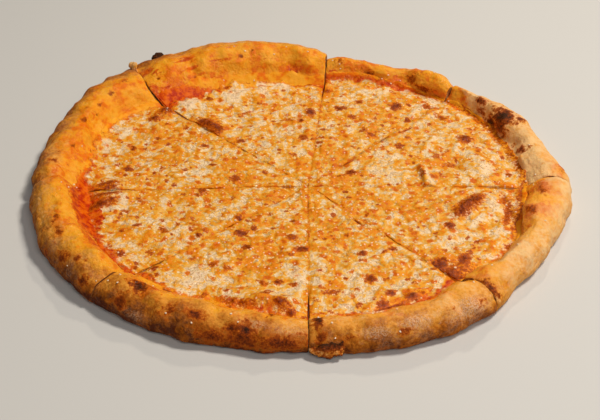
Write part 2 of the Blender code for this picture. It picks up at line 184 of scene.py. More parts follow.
# Blisters and rolls of the rim: azimuth, radius and height of the middle, length along the rim, width across
# it and how far it stands out. A negative one is a dent.
RIM_FORMS = {
    "right_back": (
        (26.5, 173, 20, 11, 9, 5.0), (9.5, 168, 12, 10, 9, 4.0), (12.8, 168, 13, 2.5, 12, -2.5),
        (6.0, 172, 15, 2.5, 12, -2.5), (19.0, 168, 13, 7, 10, -2.5), (30.0, 186, 20, 30, 14, 1.5),
        (2.5, 192, 19, 6, 5, 1.8), (36.5, 180, 20, 6, 4, 1.6),
    ),
    "back_right": (
        (54.0, 174, 17, 20, 11, 4.5), (62.5, 168, 13, 6, 12, -4.0), (70.0, 172, 19, 9, 8, 2.0),
        (76.0, 180, 19, 20, 14, 1.5),
    ),
    "back": (
        (111.0, 168, 30, 30, 22, 3.0), (89.8, 162, 19, 6, 10, 5.5), (95.5, 162, 17, 4.5, 8, -4.0),
        (118.0, 165, 14, 11, 10, 3.5), (123.3, 174, 19, 3.5, 14, -4.0), (129.0, 178, 18, 12, 14, 2.5),
        (127.5, 202, 26, 13, 12, 3.2), (103.0, 166, 24, 12, 9, 2.5),
    ),
    "left_back": (
        (146.0, 200, 22, 26, 18, 2.0), (158.0, 196, 24, 9, 26, -1.8), (170.0, 196, 24, 24, 20, 2.0),
        (181.2, 194, 23, 4, 5, 2.2), (178.6, 188, 22, 3, 8, -1.6), (165.0, 186, 21, 14, 8, 1.6),
    ),
    "left_front": (
        (190.0, 192, 23, 20, 16, 1.6), (206.0, 190, 23, 24, 14, 1.6), (217.0, 186, 22, 16, 14, 1.4),
    ),
    "front_left": (
        (228.0, 186, 20, 14, 12, 2.4), (230.0, 176, 22, 5, 5, -2.4), (234.5, 178, 20, 8, 6, 2.0),
        (243.0, 180, 18, 26, 12, 1.8), (259.0, 150, 9, 22, 9, 2.6), (262.0, 176, 14, 18, 10, 1.8),
    ),
    "front_right": (
        (283.0, 176, 14, 22, 10, 1.8), (297.0, 176, 18, 18, 12, 1.4), (306.0, 172, 21, 12, 16, 2.4),
        (300.3, 181, 20, 6, 3, 1.6), (303.0, 184, 18, 3, 6, -1.6), (305.5, 186, 18, 6, 3, 1.6),
    ),
    "right_front": (
        (347.0, 166, 16, 18, 12, 5.0), (354.5, 160, 12, 5, 12, -3.5), (341.0, 178, 20, 24, 12, 1.6),
        (317.0, 158, 12, 12, 12, 3.0), (331.5, 160, 12, 12, 10, 3.5), (337.0, 162, 12, 5, 10, -2.5),
    ),
}

# Burnt and browned marks on the rims: azimuth, radius and height, half length along the rim, half width
# across it, and how dark
CHARS = {
    "right_back": (
        (27.5, 176, 23, 10, 7, 1.0), (31.0, 172, 12, 6, 4, 0.9), (26.0, 170, 16, 8, 5, 0.7),
        (37.0, 179, 20, 4.5, 2.5, 0.85), (35.5, 175, 14, 4.5, 3, 0.5), (24.0, 186, 24, 3, 4, 0.85),
        (14.0, 171, 17, 3.5, 2.5, 0.9), (13.0, 176, 21, 2, 2, 0.5), (18.0, 169, 13, 3, 2, 0.5),
        (17.5, 163, 8, 5, 3, 0.5), (2.8, 193, 20, 5, 3.5, 0.34),
    ),
    "back_right": (
        (73.0, 167, 13, 2.5, 2.5, 0.85), (63.4, 184, 18, 5, 2.4, 0.3), (72.5, 169, 14, 4.4, 3, 0.6),
        # The mark at 59.5° darkens the end of the roll there: painted shade
        (59.5, 175, 16, 4.5, 3.5, 0.6), (55.3, 172, 12, 7.4, 2.6, 0.6), (81.0, 172, 22, 4.5, 2, 0.4),
    ),
    "back": (
        (132.5, 187, 21, 1.1, 1.1, 0.7), (130.3, 180, 19, 1.1, 1.1, 0.7), (109.5, 174, 29, 1.6, 1.4, 0.85),
        (106.0, 177, 31, 1.2, 1.2, 0.75), (123.5, 170, 15, 3, 5, 0.6), (85.5, 184, 5, 2.5, 6.5, 0.95),
    ),
    "left_back": (
        (146.5, 195, 24, 2.6, 1.6, 0.55), (151.5, 193, 23, 2.2, 1.6, 0.5), (141.0, 198, 26, 4, 1.6, 0.45),
        (155.0, 197, 25, 2, 1.6, 0.5), (159.5, 192, 23, 3.6, 2.4, 0.6), (154.5, 189, 20, 1.6, 1.2, 0.6),
        (170.0, 185, 22, 2, 1.6, 0.5), (174.0, 192, 25, 2, 1.2, 0.5), (178.0, 193, 25, 2, 3, 0.5),
        (177.5, 183, 20, 1, 1, 0.5),
    ),
    "left_front": (
        (200.0, 191, 24, 3, 2, 0.65), (201.0, 194, 23, 2.5, 1.5, 0.5), (204.5, 193, 24, 4, 2.5, 0.6),
        (212.0, 196, 21, 4, 2.5, 0.5), (215.0, 193, 23, 3.5, 2.5, 0.6), (217.0, 189, 24, 2, 1.5, 0.45),
        (206.0, 204, 9, 3, 2.5, 0.7), (211.5, 199, 18, 5.5, 3.5, 0.6), (219.5, 198, 16, 4, 3.5, 0.7),
    ),
    "front_left": (
        (230.4, 177, 22, 5, 5.5, 1.0), (229.7, 194, 16, 4.2, 4.2, 0.8), (229.5, 191, 19, 3.5, 2.5, 0.5),
        (240.5, 183, 21, 3.5, 4, 0.6), (246.0, 181, 21, 5.5, 3.5, 0.8), (239.0, 188, 17, 4.5, 3, 0.35),
        (257.0, 179, 16, 4, 4, 0.95), (261.5, 163, 15, 3.5, 3, 0.6), (254.5, 180, 16, 5, 3, 0.7),
        (250.5, 186, 11, 13, 4, 0.62), (257.0, 184, 12, 12, 5, 0.7), (264.0, 182, 11, 15, 4.5, 0.72),
    ),
    "front_right": (
        (272.2, 167, 19, 3.4, 5, 0.9), (272.5, 179, 14, 3.5, 3.5, 0.65), (278.5, 182, 15, 5, 2, 0.5),
        (289.5, 185, 16, 4.5, 2, 0.55), (300.5, 182, 20, 3.5, 2, 0.6), (308.0, 185, 18, 4, 2.5, 0.4),
    ),
    "right_front": (
        (354.4, 174, 22, 10, 5, 0.16), (343.1, 167, 23, 7, 6, 0.16), (352.1, 174, 23, 4.5, 2.6, 0.55),
        # The mark at 348.5° darkens the valley at the foot of the blister: painted shade
        (343.6, 168, 23, 3.6, 3.4, 0.6), (355.5, 163, 13, 5, 3, 0.6), (348.5, 157, 8, 14, 2.4, 0.6),
        (313.0, 180, 18, 2.2, 7, 0.75), (313.2, 186, 15, 2, 3, 0.6), (330.0, 158, 10, 3, 2.5, 0.85),
    ),
}

# Places where oil, and then sauce, lie further out on the rims, and where flour stayed, in the same terms
OILED = {
    "right_back": ((2.5, 192, 19, 9, 6, 0.9), (28.0, 172, 14, 16, 9, 0.7)),
    "front_left": ((232.0, 170, 17, 20, 9, 1.0),),
    "front_right": ((290.5, 168, 20, 14, 6, 0.7), (305.0, 166, 20, 12, 8, 0.7)),
    "right_front": (
        (347.0, 166, 18, 24, 15, 1.0), (350.0, 172, 22, 24, 12, 1.0), (338.0, 166, 19, 18, 10, 0.9),
        (330.0, 162, 14, 16, 9, 0.9), (316.0, 162, 16, 16, 14, 1.0),
    ),
}
REDDENED = {
    "right_back": ((26.0, 170, 16, 8, 5, 0.8), (2.8, 193, 20, 6, 4, 0.4), (36.0, 181, 22, 6, 4, 0.5)),
    "back_right": (
        (83.0, 165, 14, 4.5, 3.5, 0.9), (63.5, 171, 13, 5, 4, 0.85), (68.7, 166, 12, 5, 4, 0.9),
        (78.0, 172, 20, 13, 4, 0.55), (67.0, 183, 17, 12, 2, 0.5), (54.0, 175, 16, 6.5, 3.5, 0.4),
    ),
    "back": (
        (128.5, 177, 17, 13, 8, 0.55), (133.5, 165, 10, 9, 6, 1.0), (122.2, 162, 10, 6, 7, 0.8),
        (124.5, 170, 15, 5, 9, 0.9), (120.0, 168, 15, 5, 5, 0.5), (95.0, 162, 17, 7, 5, 1.0),
        (117.0, 176, 25, 15, 3, 0.5), (112.0, 184, 31, 24, 2, 0.5),
    ),
    "left_back": (
        (155.0, 191, 22, 12, 6, 0.5), (169.5, 188, 23, 10, 7, 0.55), (145.0, 184, 13, 4, 3, 0.35),
        (178.5, 188, 24, 6, 6, 0.4),
    ),
    "left_front": (
        (196.5, 170, 12, 20, 7, 1.3), (185.0, 172, 12, 13, 6, 1.1), (208.0, 173, 14, 15, 7, 0.9),
        (202.5, 188, 24, 9, 4, 0.35), (208.5, 191, 24, 8, 4, 0.35),
    ),
    "front_left": (
        (233.5, 177, 20, 6, 7, 0.9), (224.0, 198, 12, 2.5, 6, 0.9), (229.0, 168, 14, 10, 4, 0.8),
    ),
    "front_right": ((298.5, 154, 10, 16, 4, 1.0),),
    "right_front": (
        (343.5, 167, 21, 9, 7, 0.8), (354.0, 174, 22, 11, 6, 0.8), (349.0, 163, 15, 14, 5, 0.6),
        (336.0, 164, 17, 12, 4, 0.5), (318.0, 158, 14, 8, 5, 0.6), (313.5, 181, 17, 4.5, 5, 0.5),
    ),
}
FLOURED = {
    "front_left": ((258.5, 175, 18, 7, 3, 0.5), (266.0, 176, 17, 9, 3.5, 0.4), (234.0, 196, 12, 8, 4, 0.4)),
    "front_right": (
        (305.0, 185, 18, 12, 6, 0.9), (292.5, 182, 20, 9, 4, 0.8), (284.0, 182, 17, 8, 3, 0.7),
        (289.5, 172, 22, 4, 3, 0.7),
    ),
}

# Relief of baked dough: spacing and depth of its unevenness, stretch lines along the rim, and small blisters
DOUGH_GRAIN = ((19.0, 1.7), (10.0, 1.2), (5.5, 0.40), (3.0, 0.17), (1.6, 0.08), (0.9, 0.05))
STREAK_SPACING, STREAK_DEPTH = 2.6, 0.22
BLISTERS, BLISTER_SIZE, BLISTER_HEIGHT = 26, (1.2, 3.2), 0.5
RIM_RADIUS = 190 * MM  # mean radius, for patterns that follow the rim
STREAK_CLIMB, BLISTER_CLIMB = 28 * MM, 24 * MM  # length that stands for a step of 1 in the climb

# Colours of dough, oil, sauce, flour and char, and of the crumb, which painted shade darkens
DOUGH_PALE = (0.88, 0.53, 0.22, 1)
DOUGH_GOLD = (0.82, 0.33, 0.040, 1)
DOUGH_BROWN = (0.47, 0.125, 0.006, 1)
DOUGH_DARK = (0.105, 0.017, 0.001, 1)
OIL_YELLOW = (0.91, 0.39, 0.024, 1)
OIL_GOLD = (0.89, 0.31, 0.008, 1)
OIL_ORANGE = (0.80, 0.16, 0.003, 1)
SAUCE_RED = (0.46, 0.022, 0.002, 1)
SAUCE_ORANGE = (0.70, 0.095, 0.001, 1)
FLOUR_WHITE = (0.80, 0.50, 0.30, 1)
TOAST_ORANGE = (0.70, 0.17, 0.006, 1)
SCORCH_RED = (0.36, 0.060, 0.001, 1)
SCORCH_BROWN = (0.13, 0.018, 0.002, 1)
CHAR_BLACK = (0.022, 0.006, 0.003, 1)
CRUMB_SHADE = (0.10, 0.020, 0.002, 1)
CRUMB_BROWN = (0.33, 0.095, 0.012, 1)
CRUMB_GOLD = (0.66, 0.34, 0.10, 1)


def across(values, u):
    """Smooth value at u, from 0 to 1, on a curve through values that are spread evenly over that range."""
    values = np.asarray(values, float)
    ends = np.concatenate(([2 * values[0] - values[1]], values, [2 * values[-1] - values[-2]]))
    place = np.clip(u, 0, 1) * (len(values) - 1)
    k = np.minimum(place.astype(int), len(values) - 2)
    t = place - k
    a, b, c, d = ends[k], ends[k + 1], ends[k + 2], ends[k + 3]
    bend = (c - a) * t + (2 * a - 5 * b + 4 * c - d) * t**2 + (3 * b - a - 3 * c + d) * t**3
    return b + 0.5 * bend


def across_slice(place, row, u, usual=0.0):
    """A row of a slice's table at u, or the usual value where the slice has no such row."""
    return across(SLICES[place].get(row, (usual,) * 5), u)


def smooth_step(low, high, value):
    t = np.clip((value - low) / (high - low), 0, 1)
    return t * t * (3 - 2 * t)


def waves(places, spacing, seed, stretch=(1, 1, 1)):
    """Smooth noise from -1 to 1 at each place, with this spacing in millimetres."""
    spots = places / (np.array(stretch) * spacing * MM) + np.array(NOISE_SHIFT) * seed
    flat = [noise.noise(spot) for spot in spots.reshape(-1, 3).tolist()]
    return np.array(flat).reshape(places.shape[:-1])


def side_angles(place, u, radius):
    """Azimuth at share u of the way across a slice at this radius. Its sides lie a kerf further in."""
    first, last = np.radians(SLICES[place]["azimuths"])
    margin = np.arcsin(KERF / radius)
    slants = np.radians(SLICES[place].get("slants", (0, 0)))
    past = np.maximum(radius - KINK, 0)
    first = first + margin - np.arctan2(past * math.tan(slants[0]), radius)
    last = last - margin - np.arctan2(past * math.tan(slants[1]), radius)
    return first + (last - first) * u


def gap_middles(place):
    """Azimuths of the middles of the gaps on the two sides of a slice."""
    names = list(SLICES)
    number = names.index(place)
    first, last = SLICES[place]["azimuths"]
    before = SLICES[names[number - 1]]["azimuths"][1] - (360 if number == 0 else 0)
    after = SLICES[names[(number + 1) % len(names)]]["azimuths"][0]
    after += 360 if number == len(names) - 1 else 0
    return (first + before) / 2, (last + after) / 2


def torn_sides(place, u, radius, z, seed):
    """Azimuths in a crust whose two sides are torn: ragged, and nearly closing the gap here and there."""
    middles = gap_middles(place)
    azimuth = side_angles(place, u, radius)
    for side, share in ((0, 1 - u), (1, u)):
        gap = math.radians(middles[side] - SLICES[place]["azimuths"][side])
        spots = np.stack([radius, z, 0 * z + 0.01 * (seed + side)], -1)
        torn = SLICES[place]["torn"][side] + 0.9 * waves(spots, 7, seed + 30)
        torn += 0.5 * waves(spots, 2.5, seed + 31)
        torn = np.clip(torn + smooth_step(16 * MM, 6 * MM, z), 0, 0.97)
        azimuth = azimuth + gap * torn * smooth_step(0.96, 1, share)
    return azimuth


def spread(radius, azimuth, z):
    """Places in the model's frame."""
    x = CUT_CENTRE[0] + radius * np.cos(azimuth)
    y = CUT_CENTRE[1] + radius * np.sin(azimuth)
    return np.stack([x, y, z], -1)


def inner_slope(t, foot, crest, height):
    """Radius and height of the rim's inner slope at share t of the way up it."""
    return foot + (crest - foot) * t, BASE + (height - BASE) * (0.5 - 0.5 * np.cos(math.pi * t))


def sections(count):
    """Shares of the way across a slice, closer together near the cuts."""
    even = np.linspace(0, 1, count + 1)
    return even - CROWDING * np.sin(2 * math.pi * even) / (2 * math.pi)


def from_cut(place, u, radius):
    """Distance from the nearer side of a slice, along the arc."""
    first, last = np.radians(SLICES[place]["azimuths"])
    return np.minimum(u, 1 - u) * (last - first) * radius


def outline(place, u):
    """The rim's sizes in each section."""
    first, last = np.radians(SLICES[place]["azimuths"])
    outer = across_slice(place, "outer", u) * MM
    foot = across_slice(place, "foot", u) * MM
    dip = CORNER_DROP * np.exp(-((from_cut(place, u, outer) / CORNER) ** 2))
    return {
        "outer": outer,
        "foot": foot,
        "height": across_slice(place, "height", u) * MM * (1 - dip),
        "crest": outer - (outer - foot) * RIDGE,
        "tip": KERF / math.sin((last - first) / 2) + TIP,
        "cheese": across_slice(place, "cheese", u) + across_slice(place, "cover", u),
        "sauce": across_slice(place, "sauce", u),
    }


def slope_share(t, rim):
    """How much of the rim's swelling reaches share t of the inner slope."""
    sauce = rim["sauce"][:, None]
    cheese = rim["cheese"][:, None]
    above = np.clip((t - sauce) / (SWELL_RUN * (1 - sauce)), 0, 1)
    below = np.clip((t - cheese) / (sauce - cheese), 0, 1)
    return SWELL_AT_SAUCE * below + (1 - SWELL_AT_SAUCE) * above


def pushed_out(radius, z, out):
    """Profiles moved out along their normals."""
    run = np.gradient(radius, axis=1)
    rise = np.gradient(z, axis=1)
    length = np.hypot(run, rise) + TINY
    return radius + out * rise / length, z - out * run / length


def from_mark(mark, radius, azimuth, z):
    """Distances along the rim and across it from a mark's middle, in its half sizes."""
    middle, reach, up, along, wide = mark
    turn = (azimuth - math.radians(middle)) * radius / (along * MM)
    return turn, np.hypot(radius - reach * MM, z - up * MM) / (wide * MM)


def swell(place, u, radius, z, share, seed):
    """Profiles with the rim's slow lumps and its forms, by this share of them."""
    azimuth = side_angles(place, u[:, None], radius)
    around = spread(radius, azimuth, z) - np.array([*CUT_CENTRE, 0])
    out = LUMP * waves(around, LUMP_SPACING, seed)
    for *mark, height in RIM_FORMS[place]:
        turn, aside = from_mark(mark, radius, azimuth, z)
        out += height * MM * np.exp(-(turn**2) - aside**2)
    return pushed_out(radius, z, out * share)


def marked(marks, radius, azimuth, z, ragged):
    """How strong these ragged-edged marks are at each place."""
    dark = np.zeros(radius.shape)
    for *mark, strength in marks:
        away = np.hypot(*from_mark(mark, radius, azimuth, z)) * (1 + 0.6 * ragged)
        dark = np.maximum(dark, strength * smooth_step(2.1, 0.1, away))
    return dark


def give_masks(mesh, masks):
    """Keeps what varies over a piece with its mesh, for its finish to read."""
    for mask, values in masks.items():
        mesh.attributes.new(mask, "FLOAT", "POINT").data.foreach_set("value", np.transpose(values).ravel())


def shown(name, data):
    """The object that shows a mesh, light or camera, put in the scene."""
    piece = bpy.data.objects.new(name, data)
    bpy.context.scene.collection.objects.link(piece)
    return piece


def closed_sheet(name, places, masks, finishes, folds=()):
    """A closed piece: a fine grid bent round through closed profiles, its two ends capped on the cuts. A cap
    is folded on the line between two stations of its section, where folds name them."""
    section_count, station_count = places.shape[0] - 1, places.shape[1] - 1
    sheet = bmesh.new()
    bmesh.ops.create_grid(sheet, x_segments=section_count, y_segments=station_count, size=0.5)
    mesh = bpy.data.meshes.new(name)
    sheet.to_mesh(mesh)
    mesh.vertices.foreach_set("co", places.transpose(1, 0, 2).ravel())
    give_masks(mesh, masks)
    sheet.clear()
    sheet.from_mesh(mesh)
    sheet.verts.ensure_lookup_table()
    lines = [[sheet.verts[station * (section_count + 1) + end] for station in pair] for end, pair in folds]
    bmesh.ops.remove_doubles(sheet, verts=sheet.verts[:], dist=WELD)
    for face in sheet.faces:
        face.smooth = True
    rims = [edge for edge in sheet.edges if edge.is_boundary]
    for edge in rims:
        edge.smooth = False
    caps = bmesh.ops.holes_fill(sheet, edges=rims, sides=0)["faces"]
    for cap in caps:
        cap.material_index = 1
    for line in lines:
        bmesh.ops.connect_verts(sheet, verts=line)
    caps = [face for face in sheet.faces if len(face.verts) > 4]
    bmesh.ops.triangulate(sheet, faces=caps, ngon_method="EAR_CLIP")
    bmesh.ops.recalc_face_normals(sheet, faces=sheet.faces[:])
    sheet.to_mesh(mesh)
    sheet.free()
    for finish in finishes:
        mesh.materials.append(finish)
    return shown(name, mesh)


def new_finish(name, roughness):
    """A material, its nodes and shader, and the object coordinates that its patterns read."""
    finish = bpy.data.materials.new(name)
    finish.use_nodes = True
    tree = finish.node_tree
    shader = tree.nodes["Principled BSDF"]
    shader.inputs["Roughness"].default_value = roughness
    place = tree.nodes.new("ShaderNodeTexCoord").outputs["Object"]
    return finish, tree, shader, place


def soft_inside(shader, share, reach):
    """Lets light into the food: its share, and how far red, green and blue go."""
    shader.inputs["Subsurface Weight"].default_value = share
    shader.inputs["Subsurface Radius"].default_value = reach
    shader.inputs["Subsurface Scale"].default_value = 1.0


def read_mask(tree, name):
    reader = tree.nodes.new("ShaderNodeAttribute")
    reader.attribute_name = name
    return reader.outputs["Fac"]


def noise_texture(tree, place, spacing, detail, roughness=0.5):
    """A noise texture with this spacing in millimetres."""
    texture = tree.nodes.new("ShaderNodeTexNoise")
    texture.inputs["Scale"].default_value = 1 / (spacing * MM)
    texture.inputs["Detail"].default_value = detail
    texture.inputs["Roughness"].default_value = roughness
    tree.links.new(place, texture.inputs["Vector"])
    return texture


def clouds(tree, place, spacing, detail, roughness=0.55):
    return noise_texture(tree, place, spacing, detail, roughness).outputs["Fac"]


def warped(tree, place, spacing, reach):
    """Coordinates pushed about by noise, by up to reach millimetres."""
    push = tree.nodes.new("ShaderNodeVectorMath")
    push.operation = "MULTIPLY_ADD"
    push.inputs[1].default_value = (2 * reach * MM, 2 * reach * MM, 2 * reach * MM)
    tree.links.new(noise_texture(tree, place, spacing, 2.0).outputs["Color"], push.inputs[0])
    tree.links.new(place, push.inputs[2])
    return push.outputs["Vector"]


def plug(tree, value, socket):
    """Links an output to a socket, or sets the socket to a plain value."""
    if isinstance(value, bpy.types.NodeSocket):
        tree.links.new(value, socket)
    else:
        socket.default_value = value


def sums(tree, operation, first, second, clamp=False):
    """A sum of two values, each an output or a plain number."""
    node = tree.nodes.new("ShaderNodeMath")
    node.operation = operation
    node.use_clamp = clamp
    plug(tree, first, node.inputs[0])
    plug(tree, second, node.inputs[1])
    return node.outputs[0]


def ranged(tree, value, low, high, to_low=0.0, to_high=1.0):
    """Smoothly maps low..high of a value to to_low..to_high."""
    node = tree.nodes.new("ShaderNodeMapRange")
    node.interpolation_type = "SMOOTHSTEP"
    node.inputs["From Min"].default_value = low
    node.inputs["From Max"].default_value = high
    node.inputs["To Min"].default_value = to_low
    node.inputs["To Max"].default_value = to_high
    tree.links.new(value, node.inputs["Value"])
    return node.outputs["Result"]


def varied(tree, value, texture, less, more, low=0.3, high=0.7):
    """Adds less to a value where the texture is low, and more where it is high."""
    return sums(tree, "ADD", value, ranged(tree, texture, low, high, less, more))


def ramp(tree, value, *stops):
    """Colour that runs through these stops as the value rises."""
    node = tree.nodes.new("ShaderNodeValToRGB")
    elements = node.color_ramp.elements
    while len(elements) < len(stops):
        elements.new(0.5)
    for element, (at, colour) in zip(elements, stops):
        element.position = at
        element.color = colour
    tree.links.new(value, node.inputs["Fac"])
    return node.outputs["Color"]


def over(tree, below, above, share):
    """Colour above laid over colour below by a share."""
    node = tree.nodes.new("ShaderNodeMix")
    node.data_type = "RGBA"
    plug(tree, share, node.inputs["Factor"])
    plug(tree, below, node.inputs["A"])
    plug(tree, above, node.inputs["B"])
    return node.outputs["Result"]


def bumps(tree, shader, *layers):
    """Adds bumps to the shader's normal: each a height and its depth in millimetres."""
    normal = None
    for height, depth in layers:
        node = tree.nodes.new("ShaderNodeBump")
        node.inputs["Strength"].default_value = 1.0
        node.inputs["Distance"].default_value = depth * MM
        tree.links.new(height, node.inputs["Height"])
        if normal is not None:
            tree.links.new(normal, node.inputs["Normal"])
        normal = node.outputs["Normal"]
    tree.links.new(normal, shader.inputs["Normal"])


def oil_and_sauce(tree, place, red):
    """Colour of the oil and sauce that lie on the dough: darker red where there is more sauce."""
    wide = clouds(tree, place, 15, 3)
    mottle = clouds(tree, place, 4.5, 4)
    fine = clouds(tree, place, 1.6, 3)
    tone = varied(tree, ranged(tree, wide, 0.36, 0.64, -0.4, 0.4), mottle, 0.15, 0.85)
    oil = ramp(tree, tone, (0.0, OIL_ORANGE), (0.45, OIL_GOLD), (1.0, OIL_YELLOW))
    thin = sums(tree, "SUBTRACT", ranged(tree, mottle, 0.32, 0.68), ranged(tree, red, 0.45, 1.0, 0.0, 0.12))
    sauce = ramp(tree, thin, (0.0, SAUCE_RED), (0.55, SAUCE_ORANGE), (1.0, OIL_ORANGE))
    share = varied(tree, red, mottle, -0.25, 0.25)
    share = varied(tree, share, fine, -0.12, 0.12)
    return over(tree, oil, sauce, ranged(tree, share, 0.35, 0.8))


def baked_dough():
    """Skin of the crust: pale to dark as baked, with painted shade laid in; floury, oily or saucy, burnt in
    places.
    """
    finish, tree, shader, place = new_finish("baked_dough", 0.6)
    wide = clouds(tree, place, 14, 4)
    mottle = clouds(tree, place, 4.0, 4)
    grain = clouds(tree, place, 0.9, 3)
    fine = clouds(tree, place, 2.0, 4)
    bake_and_shade = varied(tree, read_mask(tree, "bake_and_shade"), wide, -0.14, 0.14)
    bake_and_shade = varied(tree, bake_and_shade, mottle, -0.08, 0.08)
    bake_and_shade = sums(tree, "ADD", bake_and_shade, ranged(tree, fine, 0.3, 0.7, -0.07, 0.07), clamp=True)
    colour = ramp(tree, bake_and_shade, (0.0, DOUGH_PALE), (0.33, DOUGH_GOLD), (0.66, DOUGH_BROWN), (1.0, DOUGH_DARK))
    flour = sums(tree, "MULTIPLY", read_mask(tree, "flour"), ranged(tree, grain, 0.35, 0.62))
    colour = over(tree, colour, FLOUR_WHITE, flour)
    colour = over(tree, colour, oil_and_sauce(tree, place, read_mask(tree, "red")), read_mask(tree, "oil"))
    char = varied(tree, read_mask(tree, "char"), fine, -0.16, 0.16)
    char = varied(tree, char, grain, -0.10, 0.10)
    char = sums(tree, "MULTIPLY", char, ranged(tree, read_mask(tree, "char"), 0.01, 0.12))
    burnt = ((0.2, TOAST_ORANGE), (0.48, SCORCH_RED), (0.78, SCORCH_BROWN), (1.0, CHAR_BLACK))
    colour = over(tree, colour, ramp(tree, char, *burnt), ranged(tree, char, 0.05, 0.52, 0.0, 0.97))
    tree.links.new(colour, shader.inputs["Base Color"])
    wet = sums(tree, "MAXIMUM", read_mask(tree, "oil"), read_mask(tree, "red"))
    dull = ranged(tree, grain, 0.3, 0.7, -0.07, 0.07)
    rough = sums(tree, "ADD", ranged(tree, wet, 0.0, 1.0, 0.66, 0.18), dull, clamp=True)
    tree.links.new(rough, shader.inputs["Roughness"])
    shader.inputs["Specular IOR Level"].default_value = 0.10
    soft_inside(shader, 0.08, (0.004, 0.0018, 0.0008))
    bumps(tree, shader, (mottle, 0.8), (fine, 0.55), (grain, 0.30))
    return finish


def shaded_dough_crumb():
    """The torn inside of the dough that shows on the cuts: golden, with painted shade darkening it in its
    pores and gaps.
    """
    finish, tree, shader, place = new_finish("shaded_dough_crumb", 0.7)
    holes = clouds(tree, place, 2.4, 4)
    grain = clouds(tree, place, 0.7, 3)
    colour = ramp(tree, holes, (0.25, CRUMB_SHADE), (0.5, CRUMB_BROWN), (0.72, CRUMB_GOLD))
    tree.links.new(colour, shader.inputs["Base Color"])
    tree.links.new(ranged(tree, grain, 0.3, 0.7, 0.6, 0.8), shader.inputs["Roughness"])
    bumps(tree, shader, (holes, 1.4), (grain, 0.3))
    return finish


def crust_profiles(rim):
    """Closed profiles of the crust in each section, and how far along the rim's climb each station is:
    0 at the inner foot, 1 at the crest, 2 at the widest line and 3 where the underside starts."""
    outer, foot, crest, height = rim["outer"], rim["foot"], rim["crest"], rim["height"]
    flat = outer - TUCK
    widest = height * WIDEST
    level = 0 * foot
    tip = rim["tip"] + level
    rows = [(reach, level, UNDERSIDE) for reach in (tip, foot * 0.5, foot, foot + 0.45 * (flat - foot))]
    for degrees in TUCK_TURN:
        angle = math.radians(degrees)
        rows.append((flat + TUCK * math.sin(angle), widest * (1 - math.cos(angle)), 3 - degrees / 90))
    for degrees in SHOULDER_TURN:
        angle = math.radians(degrees)
        reach = crest + (outer - crest) * math.cos(angle)
        rows.append((reach, widest + (height - widest) * math.sin(angle), 2 - degrees / 90))
    for t in SLOPE:
        rows.append((*inner_slope(t, foot, crest, height), t))
    rows.append((foot * 0.5, BASE + level, 0))
    rows.append((tip, BASE + level, 0))
    rows.append((tip, level, 0))
    radius = np.stack([row[0] for row in rows], 1)
    z = np.stack([row[1] for row in rows], 1)
    climb = np.array([row[2] for row in rows], float)[None, :] + 0 * radius
    return radius, z, climb


def swelling_share(climb, rim):
    """How much of the rim's swelling reaches each station: all of it from the crest to the widest line."""
    tucked = np.interp(3 - climb, (0, 1 / 3, 2 / 3), (0, 0.45, 1))
    share = np.where(climb > 2, tucked, np.where(climb > 1, 1, slope_share(climb, rim)))
    return np.where(climb > 3, 0, share)


def dough_relief(place, u, radius, azimuth, z, climb, unrolled, seed):
    """Height of the dough's unevenness, stretch lines and blisters, less its rounding at the cuts."""
    relief = STREAK_DEPTH * waves(unrolled, STREAK_SPACING, seed + 20, (7, 1, 1))
    places = spread(radius, azimuth, z)
    for number, (spacing, depth) in enumerate(DOUGH_GRAIN):
        relief += depth * waves(places, spacing, seed + 10 + number)
    first, last = np.radians(SLICES[place]["azimuths"])
    draw = np.random.default_rng(seed + 40)
    for _ in range(BLISTERS):
        middle = draw.uniform(first, last)
        level = draw.uniform(0.5, 2.6)
        size = draw.uniform(*BLISTER_SIZE) * MM
        away = np.hypot((azimuth - middle) * radius, (climb - level) * BLISTER_CLIMB) / size
        relief += BLISTER_HEIGHT * np.exp(-(away**2))
    edge = np.clip(1 - from_cut(place, u[:, None], radius) / CUT_ROUND, 0, 1)
    return relief * MM - CUT_ROUND_DEPTH * (1 - np.sqrt(1 - edge**2))


def cap_folds(place, radius, climb):
    """Where the caps on cuts that turn aside are folded: the end, and a station below and above the kink."""
    slope = np.flatnonzero((climb[0] > 0) & (climb[0] < 1))
    folds = []
    for end, slant in zip((0, SECTIONS), SLICES[place].get("slants", ())):
        if slant:
            over_kink = slope[np.argmin(np.abs(radius[end, slope] - radius[end, UNDER_KINK]))]
            folds.append((end, (UNDER_KINK, over_kink)))
    return folds


def inside_box(places):
    low, high = np.array(cad_box)
    return np.clip(places, low + [BOX_MARGIN, BOX_MARGIN, 0], high - BOX_MARGIN)


